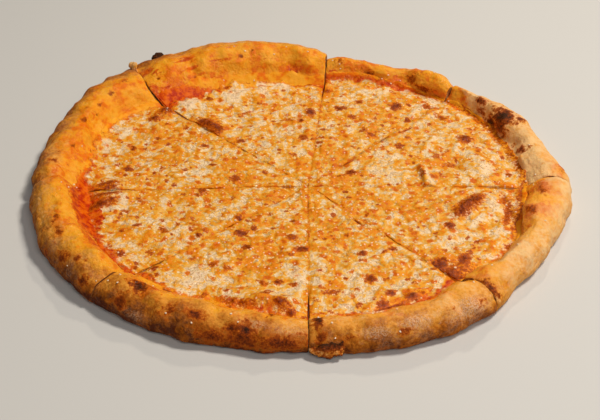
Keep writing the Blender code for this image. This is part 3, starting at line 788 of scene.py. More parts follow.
def crust_masks(place, u, places, profiles, climb, unrolled, seed):
    """How much oil, sauce, browning with painted shade, flour and char there is at each place. Profiles are
    radii, azimuths and heights."""
    ragged = waves(places, 4.0, seed + 50) + 0.5 * waves(places, 1.6, seed + 51)
    patchy = waves(places, 13.0, seed + 52) + 0.4 * waves(places, 5.0, seed + 53)
    names = ("oil", "red", "bake_and_shade", "flour", "scorch", "streaks")
    wall = {name: across_slice(place, name, u)[:, None] for name in names}
    oil = smooth_step(wall["oil"] + 0.25, wall["oil"] - 0.25, climb + 0.22 * ragged + 0.2 * patchy)
    red = smooth_step(wall["red"] + 0.2, wall["red"] - 0.2, climb + 0.12 * ragged + 0.12 * patchy)
    oil = np.maximum(oil, marked(OILED.get(place, ()), *profiles, 0.8 * ragged))
    red = np.maximum(red, marked(REDDENED.get(place, ()), *profiles, 0.8 * ragged))
    streaks = wall["streaks"] * smooth_step(0.0, 0.5, waves(unrolled, 2.0, seed + 21, (8, 1, 1)))
    red = np.maximum(red, streaks * smooth_step(0.15, 0.4, climb) * smooth_step(1.5, 1.0, climb))
    # Browner up the outer wall: browning together with painted shade of the side turned from the light
    outer_brown_and_shade = 0.3 + 0.4 * smooth_step(0.6, 1.5, climb) + 0.5 * smooth_step(1.3, 2.2, climb)
    bake_and_shade = wall["bake_and_shade"] * outer_brown_and_shade + 0.12 * patchy
    floury = smooth_step(0.8, 1.2, climb) * smooth_step(-0.1, 0.5, patchy + 0.4 * ragged)
    flour = np.maximum(0.5 * wall["flour"] * floury, marked(FLOURED.get(place, ()), *profiles, ragged))
    low_scorch = smooth_step(1.9, 2.4, climb + 0.3 * patchy) * smooth_step(-0.2, 0.5, patchy)
    char = np.maximum(marked(CHARS[place], *profiles, ragged), 0.85 * wall["scorch"] * low_scorch)
    return {"oil": 0.94 * oil, "red": red, "bake_and_shade": bake_and_shade, "flour": flour, "char": char}


def make_crust(place, seed, finishes):
    u = sections(SECTIONS)
    rim = outline(place, u)
    radius, z, climb = crust_profiles(rim)
    share = swelling_share(climb, rim)
    radius, z = swell(place, u, radius, z, share, seed)
    azimuth = side_angles(place, u[:, None], radius)
    unrolled = np.stack([azimuth * RIM_RADIUS, climb * STREAK_CLIMB, 0 * z], -1)
    relief = dough_relief(place, u, radius, azimuth, z, climb, unrolled, seed)
    radius, z = pushed_out(radius, z, relief * share)
    z = np.maximum(z, 0)
    azimuth = torn_sides(place, u[:, None] + 0 * radius, radius, z, seed)
    places = inside_box(spread(radius, azimuth, z))
    masks = crust_masks(place, u, places, (radius, azimuth, z), climb, unrolled, seed)
    folds = cap_folds(place, radius, climb)
    crust = closed_sheet(f"baked_crust_{place}", places, masks, finishes, folds)
    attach(crust, "root")
    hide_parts(f"crust_{place}")


crust_finishes = (baked_dough(), shaded_dough_crumb())
for number, place in enumerate(SLICES):
    make_crust(place, number, crust_finishes)

# ----------------------------------------------------------------------------------------------------------
# Sauce. A thin wet layer of cooked tomato that lies on the dough and shows between the cheese and the rim.
# Its edge is ragged, and oil from the cheese has turned parts of it orange.
SAUCE = 0.9 * MM  # its thickness
GAP = 0.35 * MM  # between two layers
SAUCE_SECTIONS = 170
SAUCE_SHARES = np.linspace(0, 1, 27)
SAUCE_WANDER = 0.05  # how far its edge wanders, of the slope's length
SAUCE_GRAIN, SAUCE_GRAIN_SPACING = 0.22 * MM, 3.0
SAUCE_RIM = 0.1 * MM  # thickness at its edge
SAUCE_LIFT = 0.05 * MM
SAUCE_SINK = 0.8 * MM  # its edge sinks into the dough


def tomato_sauce():
    finish, tree, shader, place = new_finish("tomato_sauce", 0.35)
    mottle = clouds(tree, place, 4.5, 4)
    grain = clouds(tree, place, 1.3, 3)
    tree.links.new(oil_and_sauce(tree, place, read_mask(tree, "red")), shader.inputs["Base Color"])
    tree.links.new(ranged(tree, grain, 0.3, 0.7, 0.25, 0.45), shader.inputs["Roughness"])
    shader.inputs["Specular IOR Level"].default_value = 0.05
    bumps(tree, shader, (mottle, 0.9), (grain, 0.2))
    return finish


def wander(place, u, radius, wide, fine, less, seed):
    """Waves of an edge that lies near this radius: of one spacing, and less of a finer one."""
    first, last = np.radians(SLICES[place]["azimuths"])
    places = spread(radius, (first + (last - first) * u)[:, None], 0 * radius)
    return waves(places, wide, seed) + less * waves(places, fine, seed + 1)


def closed_ring(there, back):
    """Stations along one face of a layer, those of its other face on the way back, and the first again."""
    return np.concatenate([there, back[:, ::-1], there[:, :1]], 1)


def make_sauce(place, seed, finish):
    u = sections(SAUCE_SECTIONS)
    rim = outline(place, u)
    waved = SAUCE_WANDER * wander(place, u, rim["outer"][:, None], 9, 3.5, 0.6, seed + 60)
    edge = rim["sauce"][:, None] + waved
    t = edge * SAUCE_SHARES[None, :]
    radius, z = inner_slope(t, rim["foot"][:, None], rim["crest"][:, None], rim["height"][:, None])
    radius, z = swell(place, u, radius, z, slope_share(t, rim), seed)
    tip = rim["tip"] + 0 * radius[:, :1]
    radius = np.concatenate([tip, radius[:, :1] * 0.5, radius], 1)
    z = np.concatenate([z[:, :1], z[:, :1], z], 1)
    share = np.concatenate([np.zeros(2), SAUCE_SHARES])[None, :]
    places = spread(radius, side_angles(place, u[:, None], radius), z)
    thick = SAUCE + GAP + SAUCE_GRAIN * waves(places, SAUCE_GRAIN_SPACING, seed + 62)
    fade = np.sqrt(np.clip((1 - share) / 0.3, 0, 1))
    low = z + SAUCE_LIFT - SAUCE_SINK * smooth_step(0.6, 1.0, share)
    high = low + SAUCE_RIM + (thick + SAUCE_SINK * smooth_step(0.6, 0.9, share)) * fade
    ring = closed_ring(radius, radius)
    places = spread(ring, side_angles(place, u[:, None], ring), closed_ring(high, low))
    climb = closed_ring(share * edge, share * edge)
    reach = across_slice(place, "red", u)[:, None]
    red = smooth_step(reach + 0.2, reach - 0.2, climb)
    sauce = closed_sheet(f"tomato_sauce_{place}", places, {"red": red}, (finish, finish))
    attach(sauce, "root")
    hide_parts(f"sauce_{place}")


sauce_finish = tomato_sauce()
for number, place in enumerate(SLICES):
    make_sauce(place, number, sauce_finish)

# ----------------------------------------------------------------------------------------------------------
# Cheese. Grated cheese that melted into one clumpy skin, with oil lying on it: cream where it is thick, gold
# and orange where the oil and sauce came through, and blistered red-brown in spots. It thins out on the rim.
CHEESE = 2.7 * MM  # its thickness
RIPPLE, RIPPLE_SPACING = 0.5 * MM, 22
CHEESE_SECTIONS, CHEESE_STATIONS = 210, 215
CHEESE_TIP = 0.25 * MM  # the melted cheese runs together in the middle
CHEESE_RIM = 0.15 * MM  # thickness at its edge
CHEESE_FADE = 12 * MM  # how far from its edge it starts to thin out
CHEESE_WANDER = 0.12  # how far its edge wanders, of the slope's length
CHEESE_LIFT = 0.05 * MM
CHEESE_SINK, CHEESE_SINK_REACH = 1.1 * MM, 4 * MM  # its edge sinks into the sauce
CUT_HALF = 0.03 * MM  # the melted cheese has nearly closed the cuts, but for some slits
CUT_SLIT = 0.25 * MM
CLOSED_TO, OPEN_FROM = 118 * MM, 150 * MM  # radii between which the gaps between the slices open
CUT_WAVER = 1.1 * MM
CUT_DROOP, CUT_DROOP_REACH = 0.8 * MM, 2.4 * MM  # it hangs down at the cuts
CUT_SHADE_REACH, CUT_AMBER_SHADE_REACH = 1.6 * MM, 1.8 * MM  # how far from a cut painted shade browns it, and makes it more golden and darker
CHEESE_GRAIN = ((14.0, 1.1), (7.0, 0.95), (3.6, 0.60), (2.0, 0.28), (1.2, 0.12))

# Blisters in the cheese: azimuth, radius, length along the radius, width across it and height
CHEESE_FORMS = {
    "right_back": ((9.9, 91, 5, 14, 2.2), (28.2, 141, 9, 6, 1.8), (4.0, 130, 22, 18, 2.0)),
    "back_right": ((72.0, 116, 6, 6, 1.4), (62.0, 130, 6, 6, 1.2)),
    "back": ((133.0, 117, 11, 9, 2.2), (108.0, 146, 16, 24, 1.6), (92.0, 110, 6, 6, 1.2)),
    "left_back": ((138.6, 157, 8, 7, 2.2), (144.0, 154, 7, 6, 1.8), (180.5, 146, 14, 6, 2.4)),
    "left_front": ((187.0, 150, 14, 8, 2.2), (206.0, 130, 8, 8, 1.2)),
    "front_left": ((257.0, 141, 9, 24, 2.4), (240.0, 110, 8, 8, 1.2)),
    "front_right": ((301.0, 118, 7, 7, 1.4), (290.0, 140, 7, 10, 1.2)),
    "right_front": ((346.0, 121, 16, 9, 3.2), (334.5, 115, 8, 6, 2.0)),
}

# Folds and lumps of cheese: azimuth and radius, direction of the long axis from +X, half length, half width,
# height, how much more gold and how brown they are. Where the height is negative the fold is a dent, and
# its brown is painted shade in it.
FOLDS = {
    "right_back": (
        (9.6, 92.2, 98, 14, 2.4, 2.2, -0.5, 0.0), (9.4, 88.8, 98, 15, 1.9, 3.2, 0.16, 0.0),
        (47.2, 47, 40, 7, 1.6, -1.2, 0.4, 0.6), (45.9, 112, 46, 9, 1.6, -1.2, 0.4, 0.5),
        (14.0, 136, 100, 18, 9, 2.6, -0.1, 0.0), (24.0, 128, 70, 12, 2.5, 1.9, -0.2, 0.0),
        (32.0, 114, 62, 12, 3, 1.7, -0.25, 0.0), (45.8, 140, 45, 16, 2, 1.3, -0.25, 0.0),
        (25.0, 152, 130, 16, 4, -1.5, 0.1, 0.0), (17.0, 118, 120, 14, 5, -1.7, 0.15, 0.0),
    ),
    "back_right": (
        (51.0, 140, 50, 14, 2, 1.0, -0.2, 0.0), (66.0, 96, 80, 12, 3, -0.8, 0.1, 0.0),
        (70.0, 148, 150, 18, 4, 1.0, -0.2, 0.0), (58.0, 122, 20, 9, 3, 1.0, -0.1, 0.0),
    ),
    "back": (
        (134.4, 114, 138, 13, 6, 1.8, 0.35, 0.8), (130.4, 151, 40, 10, 6, 1.5, -0.3, 0.0),
        (104.8, 153, 100, 8, 5, 1.3, -0.3, 0.0), (97.9, 149, 90, 6, 4, 1.2, -0.3, 0.0),
        (113.0, 144, 25, 16, 6, 1.2, -0.35, 0.0), (99.0, 158, 100, 8, 4, 1.2, -0.4, 0.0),
        (100.0, 100, 10, 14, 3, -0.9, 0.1, 0.0), (118.0, 95, 40, 12, 4, 1.0, -0.1, 0.0),
    ),
    "left_back": (
        (141.0, 157, 50, 12, 6, 1.0, 0.4, 0.4), (183.0, 155, 12, 12, 3.5, 1.8, 0.6, 0.6),
        (154.0, 163, 60, 9, 3, 1.4, -0.5, 0.0), (161.0, 170, 80, 7, 2.5, 1.0, -0.5, 0.0),
        (165.0, 100, 30, 16, 4, 1.0, -0.1, 0.0), (150.0, 120, 50, 14, 5, -0.9, 0.1, 0.0),
        (176.0, 128, 80, 12, 4, 1.0, 0.0, 0.0),
    ),
    "left_front": (
        (190.3, 156, 20, 13, 4.0, 2.2, 0.4, 0.8), (190.0, 140, 70, 12, 4, 1.4, -0.3, 0.0),
        (203.0, 150, 120, 12, 4, 1.0, 0.2, 0.0), (212.0, 110, 30, 12, 4, 1.0, -0.1, 0.0),
        (218.5, 90, 40, 14, 3, 0.9, -0.1, 0.0),
    ),
    "front_left": (
        (230.5, 162, 145, 12, 4, 1.8, 0.55, 0.0), (251.4, 147, -20, 14, 3.2, 2.0, 0.35, 0.5),
        (260.0, 142, -8, 18, 7, 4.2, 0.25, 0.0), (263.5, 146, -35, 9, 4, 1.6, 0.3, 0.4),
        (267.0, 116, 92, 18, 3.5, 0.9, -0.35, 0.0), (236.0, 130, 150, 12, 5, 1.1, -0.2, 0.0),
        (250.0, 105, 20, 14, 5, -0.9, 0.15, 0.0),
    ),
    "front_right": (
        (273.5, 118, 88, 16, 4, 1.1, -0.25, 0.0), (309.5, 112, 128, 18, 2.5, 1.1, -0.25, 0.0),
        (307.9, 58, 135, 5, 1.0, -1.0, 0.4, 0.7), (291.5, 151, 22, 13, 1.0, -1.0, 0.3, 0.85),
        (298.0, 149, 25, 16, 3, 0.8, 0.6, 0.0), (285.0, 90, 60, 14, 4, -0.8, 0.1, 0.0),
        (282.0, 150, 10, 14, 3, 0.8, 0.2, 0.0),
    ),
    "right_front": (
        (340.0, 142, 75, 16, 4, -1.8, 0.1, 0.0), (326.0, 118, 35, 12, 5, 1.1, -0.15, 0.0),
        (345.0, 100, 60, 12, 4, 1.0, 0.25, 0.0), (348.0, 122, 52, 17, 6.0, 3.4, 0.3, 0.95),
        (350.5, 126, 52, 15, 3.0, 0.6, -0.5, 0.0), (351.3, 150, 98, 18, 3.5, -2.4, 0.0, 0.45),
        (352.0, 138, 85, 12, 5, 2.0, -0.2, 0.0), (332.0, 148, 60, 8, 5, 1.5, 0.1, 0.0),
        (318.0, 128, 125, 8, 4, 1.4, 0.5, 0.0),
    ),
}

# Browned spots on the cheese: azimuth, radius, half size along the radius and across it, and how dark
SPOTS = {
    "right_back": (
        (29, 38, 3.6, 3.4, 0.85), (38, 92, 3.2, 3.2, 0.7), (40, 105, 2.6, 2.6, 0.45),
        (42, 133, 2.0, 2.0, 0.6), (42.5, 148, 3.0, 5.5, 0.6), (28, 142, 4.8, 5.6, 0.9),
        (22.5, 109, 2.6, 2.6, 0.5), (16, 115, 5.0, 3.0, 0.5), (24.5, 121, 1.8, 1.8, 0.4),
        (23, 132, 1.7, 1.7, 0.4), (20, 143, 2.4, 2.4, 0.55), (6, 155, 2.4, 2.4, 0.6),
        (7, 96, 2.4, 2.4, 0.5),
    ),
    "back_right": (
        (55.5, 89, 2.2, 4.4, 0.65), (61, 91, 3.4, 2.2, 0.55), (77, 115, 4.0, 4.0, 0.95),
        (70.5, 106, 2.8, 2.8, 0.75), (71, 131, 3.0, 3.0, 0.7), (58, 137, 4.6, 3.8, 0.95),
        (49.8, 126, 2.7, 2.7, 0.7), (55, 145, 1.4, 2.4, 0.7), (50, 153, 3.2, 3.2, 0.6),
        (56, 112, 1.8, 1.8, 0.45), (61, 112, 2.4, 1.8, 0.5), (81.5, 81, 2.0, 2.7, 0.6),
        (83.6, 142, 3.6, 2.4, 0.75),
    ),
    "back": (
        (89.3, 106, 4.6, 3.4, 0.95), (94, 93, 3.0, 2.5, 0.7), (100, 96, 2.6, 4.8, 0.45),
        (93.5, 67, 4.6, 3.4, 0.65), (109, 126, 2.0, 2.0, 0.55), (116, 116, 1.8, 6.2, 0.45),
        (123.5, 151, 3.4, 2.4, 0.8), (135.0, 121, 5.0, 4.5, 0.85), (133.5, 106, 4.5, 4.0, 0.85),
        (131.5, 81, 2.4, 3.2, 0.75), (105.5, 44, 2.6, 2.6, 0.5),
    ),
    "left_back": (
        (147, 98, 3.0, 2.4, 0.8), (141, 128, 2.4, 2.0, 0.6), (138, 158, 5.2, 5.6, 0.9),
        (144, 156, 4.2, 3.8, 0.9), (152, 137, 2.5, 2.1, 0.7), (161, 146, 2.1, 2.7, 0.8),
        (159.5, 138, 1.9, 2.1, 0.6), (172, 141, 3.3, 3.3, 0.8), (161, 79, 2.6, 1.9, 0.75),
        (171.5, 57, 3.6, 4.2, 0.7), (153.5, 38, 2.4, 2.4, 0.6), (169, 97, 2.4, 2.4, 0.6),
        (181, 152, 9.0, 3.0, 0.7),
    ),
    "left_front": (
        (185.5, 81, 2.7, 6.5, 0.75), (220.5, 66, 2.4, 3.4, 0.95), (219.3, 102, 1.8, 2.7, 0.75),
        (203.6, 136, 2.9, 2.7, 0.8), (209, 120, 2.4, 3.8, 0.6), (213, 158, 3.4, 3.8, 0.7),
        (216.7, 140, 2.7, 2.9, 0.5), (203.6, 117, 2.0, 2.0, 0.5), (186, 152, 9.0, 3.4, 0.75),
        (190, 128, 2.0, 5.0, 0.5),
    ),
    "front_left": (
        (223.8, 148, 3.0, 2.0, 0.8), (234.5, 68, 2.4, 2.4, 0.7), (231.3, 78, 3.4, 4.2, 0.95),
        (241, 90, 2.6, 3.5, 0.8), (260, 67, 3.0, 3.3, 0.7), (267, 79, 3.0, 4.6, 0.9),
        (235.5, 118, 2.1, 3.2, 0.65), (228.3, 122, 2.6, 2.6, 0.4), (259.8, 119, 2.6, 2.6, 0.85),
        (265.2, 120, 2.0, 2.8, 0.6), (257.4, 135, 2.4, 2.4, 0.9), (262.6, 144, 2.6, 3.4, 0.85),
        (265.6, 151, 2.6, 2.8, 0.8), (261.6, 87, 1.8, 2.3, 0.5), (254.4, 119, 1.7, 1.7, 0.5),
        (242.4, 103, 2.0, 2.0, 0.5),
    ),
    "front_right": (
        (296.5, 42, 1.9, 1.9, 0.7), (294, 68, 1.6, 1.6, 0.6), (280, 68, 1.8, 1.8, 0.5),
        (294.6, 92, 2.5, 2.9, 0.85), (307.5, 98, 2.4, 2.4, 0.75), (291, 120, 3.8, 3.5, 0.95),
        (274.2, 104, 2.0, 2.0, 0.45), (277.2, 128, 2.5, 6.2, 0.6), (283, 115, 1.7, 1.7, 0.5),
        (293.6, 139, 2.6, 3.2, 0.8), (298.2, 148, 3.6, 4.4, 0.85), (289.6, 148, 3.2, 3.5, 0.85),
        (288.4, 141, 1.6, 1.6, 0.5), (284, 143, 2.3, 1.2, 0.5), (271.7, 157, 2.5, 2.0, 0.95),
    ),
    "right_front": (
        (343, 29, 1.8, 1.8, 0.8), (335, 44, 1.4, 1.4, 0.5), (333.6, 115, 3.4, 3.7, 0.85),
        (331, 131, 1.2, 2.0, 0.5), (329, 98, 1.4, 1.4, 0.5), (323.5, 92, 1.7, 1.7, 0.5),
        (320, 142, 3.4, 3.4, 0.85), (313.8, 132, 5.5, 6.0, 1.0), (313.5, 146, 9, 6, 0.8),
        (317.5, 145, 8, 8, 0.45), (321.5, 140, 4.0, 4.5, 0.8), (333, 160, 2.7, 2.2, 0.6),
        # The spot at 347.8° darkens the valley at the foot of the rim's blister: painted shade
        (347.8, 151, 2.4, 15, 0.7), (355.4, 159, 3.0, 5.0, 0.5),
    ),
}

# Patches of tone: azimuth, radius, half size along the radius and across it, and how much more gold (or,
# where negative, cream) the cheese is there
PATCHES = {
    "right_back": (
        # The cream patch at 8°, 138 mm is partly a painted highlight on glossy folds
        (15, 60, 30, 20, -0.1), (30, 85, 20, 15, -0.12), (8, 138, 18, 16, -0.3), (30, 128, 16, 20, -0.12),
        (9.9, 91, 4, 15, 0.05), (24, 20, 22, 22, 0.25),
    ),
    "back_right": (
        (66, 110, 40, 30, 0.06), (50, 60, 20, 12, 0.06), (66, 20, 24, 24, 0.22), (72, 150, 8, 30, -0.12),
    ),
    "back": (
        (118, 145, 14, 22, -0.32), (130.4, 151, 11, 10, -0.45), (100, 140, 14, 24, -0.12),
        (110, 80, 40, 30, -0.08), (109, 18, 22, 22, 0.2),
    ),
    "left_back": (
        (163, 85, 16, 22, -0.22), (152, 168, 8, 16, -0.35), (158, 120, 22, 40, 0.08),
        (165, 50, 22, 24, 0.26), (140, 110, 25, 14, 0.06),
    ),
    "left_front": (
        (190, 146, 12, 16, -0.22), (212, 125, 20, 20, -0.08), (200, 90, 25, 25, 0.06),
        (205, 20, 22, 22, 0.2),
    ),
    "front_left": (
        (252, 90, 26, 30, 0.2), (238, 128, 22, 14, -0.18), (265, 108, 24, 9, -0.22),
        (245, 142, 8, 22, -0.15), (246, 18, 22, 22, 0.2),
    ),
    "front_right": (
        (290, 55, 32, 24, 0.18), (283, 132, 18, 30, -0.12), (273, 100, 30, 8, -0.15),
        (306, 125, 14, 12, -0.12),
    ),
    "right_front": (
        (352, 92, 14, 26, 0.26), (335, 40, 35, 26, 0.14), (345, 140, 12, 14, -0.25),
        (330, 128, 14, 20, -0.15), (320, 100, 18, 14, -0.06),
    ),
}

# Places where hardly any cheese covers the dough: azimuth, radius, half size along the radius and across it,
# and how much sauce lies there
BARE = {
    "right_front": ((317.0, 152, 11, 13, 0.0),),
    "front_right": ((299.5, 147, 4, 14, 0.35), (290.5, 150, 3, 10, 0.2)),
    "front_left": ((245.0, 150, 3, 12, 0.0), (268.0, 151, 2.5, 7, 0.3)),
    "left_front": ((193.0, 161, 5, 18, 1.0),),
}

# Small browned spots in each slice, between those seen
SPECKS, SPECK_SIZE, SPECK_DARKNESS = 34, (0.8, 1.9), (0.28, 0.6)
SPECK_REACH = 165
SPOT_RISE = 0.09  # how far a spot rises, of its half size
EDGE_SHADE = 0.15  # how much painted shade darkens the cheese's edge where a slice's table doesn't say

CREAM = (0.92, 0.67, 0.40, 1)
PALE_GOLD = (0.88, 0.50, 0.13, 1)
GOLD = (0.87, 0.38, 0.020, 1)
AMBER = (0.82, 0.24, 0.004, 1)
TOAST = (0.68, 0.130, 0.001, 1)
# painted shade between the cheese's clumps
VALLEY_SHADE = (0.44, 0.17, 0.030, 1)
SPOT_ORANGE = (0.78, 0.20, 0.003, 1)
SPOT_RED = (0.47, 0.080, 0.001, 1)
SPOT_BROWN = (0.17, 0.020, 0.001, 1)
# pale grains, partly painted glints
PALE_GRAIN_AND_GLINT = (0.93, 0.80, 0.62, 1)


def cells(tree, place, spacing):
    """Round cells with this spacing in millimetres: distance from the nearest middle, a random number."""
    texture = tree.nodes.new("ShaderNodeTexVoronoi")
    texture.voronoi_dimensions = "2D"
    texture.inputs["Scale"].default_value = 1 / (spacing * MM)
    tree.links.new(place, texture.inputs["Vector"])
    split = tree.nodes.new("ShaderNodeSeparateColor")
    tree.links.new(texture.outputs["Color"], split.inputs["Color"])
    return texture.outputs["Distance"], split.outputs["Red"]


def melted_cheese():
    """Clumps from cream to amber with painted shade between them, toasted spots, oil and sauce where it is
    thin.
    """
    finish, tree, shader, place = new_finish("melted_cheese", 0.4)
    moved = warped(tree, place, 7.0, 2.5)
    wide = clouds(tree, place, 13.0, 2)
    blotch = clouds(tree, moved, 7.5, 3, 0.5)
    clump = clouds(tree, moved, 4.1, 3)
    grain = clouds(tree, place, 1.0, 3, 0.6)
    tone = varied(tree, read_mask(tree, "tone"), wide, -0.20, 0.24, 0.34, 0.66)
    tone = varied(tree, tone, blotch, -0.26, 0.30, 0.36, 0.64)
    tone = varied(tree, tone, clump, -0.33, 0.34, 0.35, 0.65)
    tone = varied(tree, tone, grain, -0.12, 0.12)
    colour = ramp(tree, tone, (0.10, CREAM), (0.35, PALE_GOLD), (0.60, GOLD), (1.0, AMBER))
    # Painted shade between the clumps, stronger in some places than others
    painted_valley_shade = sums(tree, "ABSOLUTE", sums(tree, "SUBTRACT", clump, 0.44), 0.0)
    painted_valley_shade = ranged(tree, painted_valley_shade, 0.0, 0.05, 1.0, 0.0)
    painted_valley_shade = sums(tree, "MULTIPLY", painted_valley_shade, ranged(tree, wide, 0.38, 0.62, 0.75, 0.2))
    colour = over(tree, colour, VALLEY_SHADE, painted_valley_shade)

    # Round toasted spots of two sizes, more of them where the cheese is golden, and small pale grains that
    # are partly painted glints
    for spacing, least, darkest in ((9.5, 0.50, 1.0), (5.6, 0.66, 0.85)):
        distance, number = cells(tree, moved, spacing)
        chance = varied(tree, number, tone, -0.25, 0.20, 0.1, 0.9)
        strength = ranged(tree, chance, least, least + 0.35)
        toasted = sums(tree, "MULTIPLY", strength, ranged(tree, distance, 0.03, 0.44, 1.0, 0.0))
        toasted = varied(tree, toasted, grain, -0.12, 0.12)
        toast_tone = ramp(tree, toasted, (0.2, AMBER), (0.75, TOAST))
        colour = over(tree, colour, toast_tone, ranged(tree, toasted, 0.08, 0.55, 0.0, darkest))
    distance, number = cells(tree, place, 4.2)
    near = ranged(tree, distance, 0.08, 0.18, 1.0, 0.0)
    pale_grain_and_glint = sums(tree, "MULTIPLY", near, ranged(tree, number, 0.55, 0.6))
    colour = over(tree, colour, PALE_GRAIN_AND_GLINT, sums(tree, "MULTIPLY", pale_grain_and_glint, 0.7))

    # Bare places, and the browned spots that the mesh carries, with its painted shade beside the cuts, at
    # the cheese's edge and in dents
    thin = varied(tree, read_mask(tree, "thin"), blotch, -0.4, 0.4)
    wet = oil_and_sauce(tree, place, read_mask(tree, "red"))
    colour = over(tree, colour, wet, ranged(tree, thin, 0.3, 0.75))
    spot = varied(tree, read_mask(tree, "brown"), grain, -0.20, 0.20)
    spot = varied(tree, spot, clouds(tree, place, 2.2, 3, 0.65), -0.24, 0.24)
    spot = sums(tree, "MULTIPLY", spot, ranged(tree, read_mask(tree, "brown"), 0.02, 0.2))
    spot_tone = ramp(tree, spot, (0.12, SPOT_ORANGE), (0.50, SPOT_RED), (0.95, SPOT_BROWN))
    colour = over(tree, colour, spot_tone, ranged(tree, spot, 0.06, 0.36))
    tree.links.new(colour, shader.inputs["Base Color"])
    gloss = varied(tree, ranged(tree, clump, 0.3, 0.7, 0.05, 0.20), grain, 0.04, 0.24, 0.35, 0.65)
    tree.links.new(gloss, shader.inputs["Roughness"])
    shader.inputs["Specular IOR Level"].default_value = 0.16
    soft_inside(shader, 0.10, (0.003, 0.0015, 0.0007))
    bumps(tree, shader, (blotch, 1.8), (clump, 1.4), (grain, 0.5))
    return finish


def melted_sides(place, u, radius, margin):
    """Azimuths in the cheese. It has run together at the cuts, which waver a little, and follows the crust's
    sides at the rim."""
    sides = []
    apart = smooth_step(CLOSED_TO, OPEN_FROM, radius)
    waver = (1 - apart) * smooth_step(5 * MM, 25 * MM, radius) * CUT_WAVER / radius
    for side, middle in enumerate(gap_middles(place)):
        cut = (list(SLICES).index(place) + side) % len(SLICES)
        along = np.stack([radius, 0 * radius + 0.05 * cut, 0 * radius], -1)
        straight = np.radians(middle * (1 - apart) + SLICES[place]["azimuths"][side] * apart)
        sides.append(straight + waver * waves(along, 20, 60))
    first, last = sides
    inset = np.arcsin(np.clip(margin / radius, 0, 1))
    return first + inset + (last - first - 2 * inset) * u


def off_spot(spot, azimuth, radius):
    """Distance from a spot's middle, in its half sizes."""
    middle, reach, along, wide = spot
    return np.hypot((azimuth - math.radians(middle)) * radius / wide, (radius - reach * MM) / along) / MM


def folds_share(fold, places):
    """How much of a fold reaches each place."""
    middle, reach, turned, along, wide = fold
    away = places[..., :2] - spread(reach * MM, np.radians(middle), 0)[:2]
    turned = math.radians(turned)
    ahead = (away[..., 0] * math.cos(turned) + away[..., 1] * math.sin(turned)) / (along * MM)
    aside = (away[..., 1] * math.cos(turned) - away[..., 0] * math.sin(turned)) / (wide * MM)
    return np.exp(-(ahead**4) - aside**2)


def strewn_specks(place, seed):
    """Rows for small browned spots scattered over a slice."""
    first, last = np.radians(SLICES[place]["azimuths"])
    draw = np.random.default_rng(seed + 80)
    rows = []
    for _ in range(SPECKS):
        reach = SPECK_REACH * math.sqrt(draw.uniform(0.01, 1))
        size = draw.uniform(*SPECK_SIZE)
        middle = math.degrees(draw.uniform(first, last))
        width = size * draw.uniform(0.8, 1.8)
        rows.append((middle, reach, size, width, draw.uniform(*SPECK_DARKNESS)))
    return rows


def resting_height(radius, foot, crest, height):
    """Height that the cheese lies at, over the sauce."""
    t = np.clip((radius - foot) / (crest - foot), 0, 1)
    return inner_slope(t, foot, crest, height)[1] + SAUCE + 2 * GAP


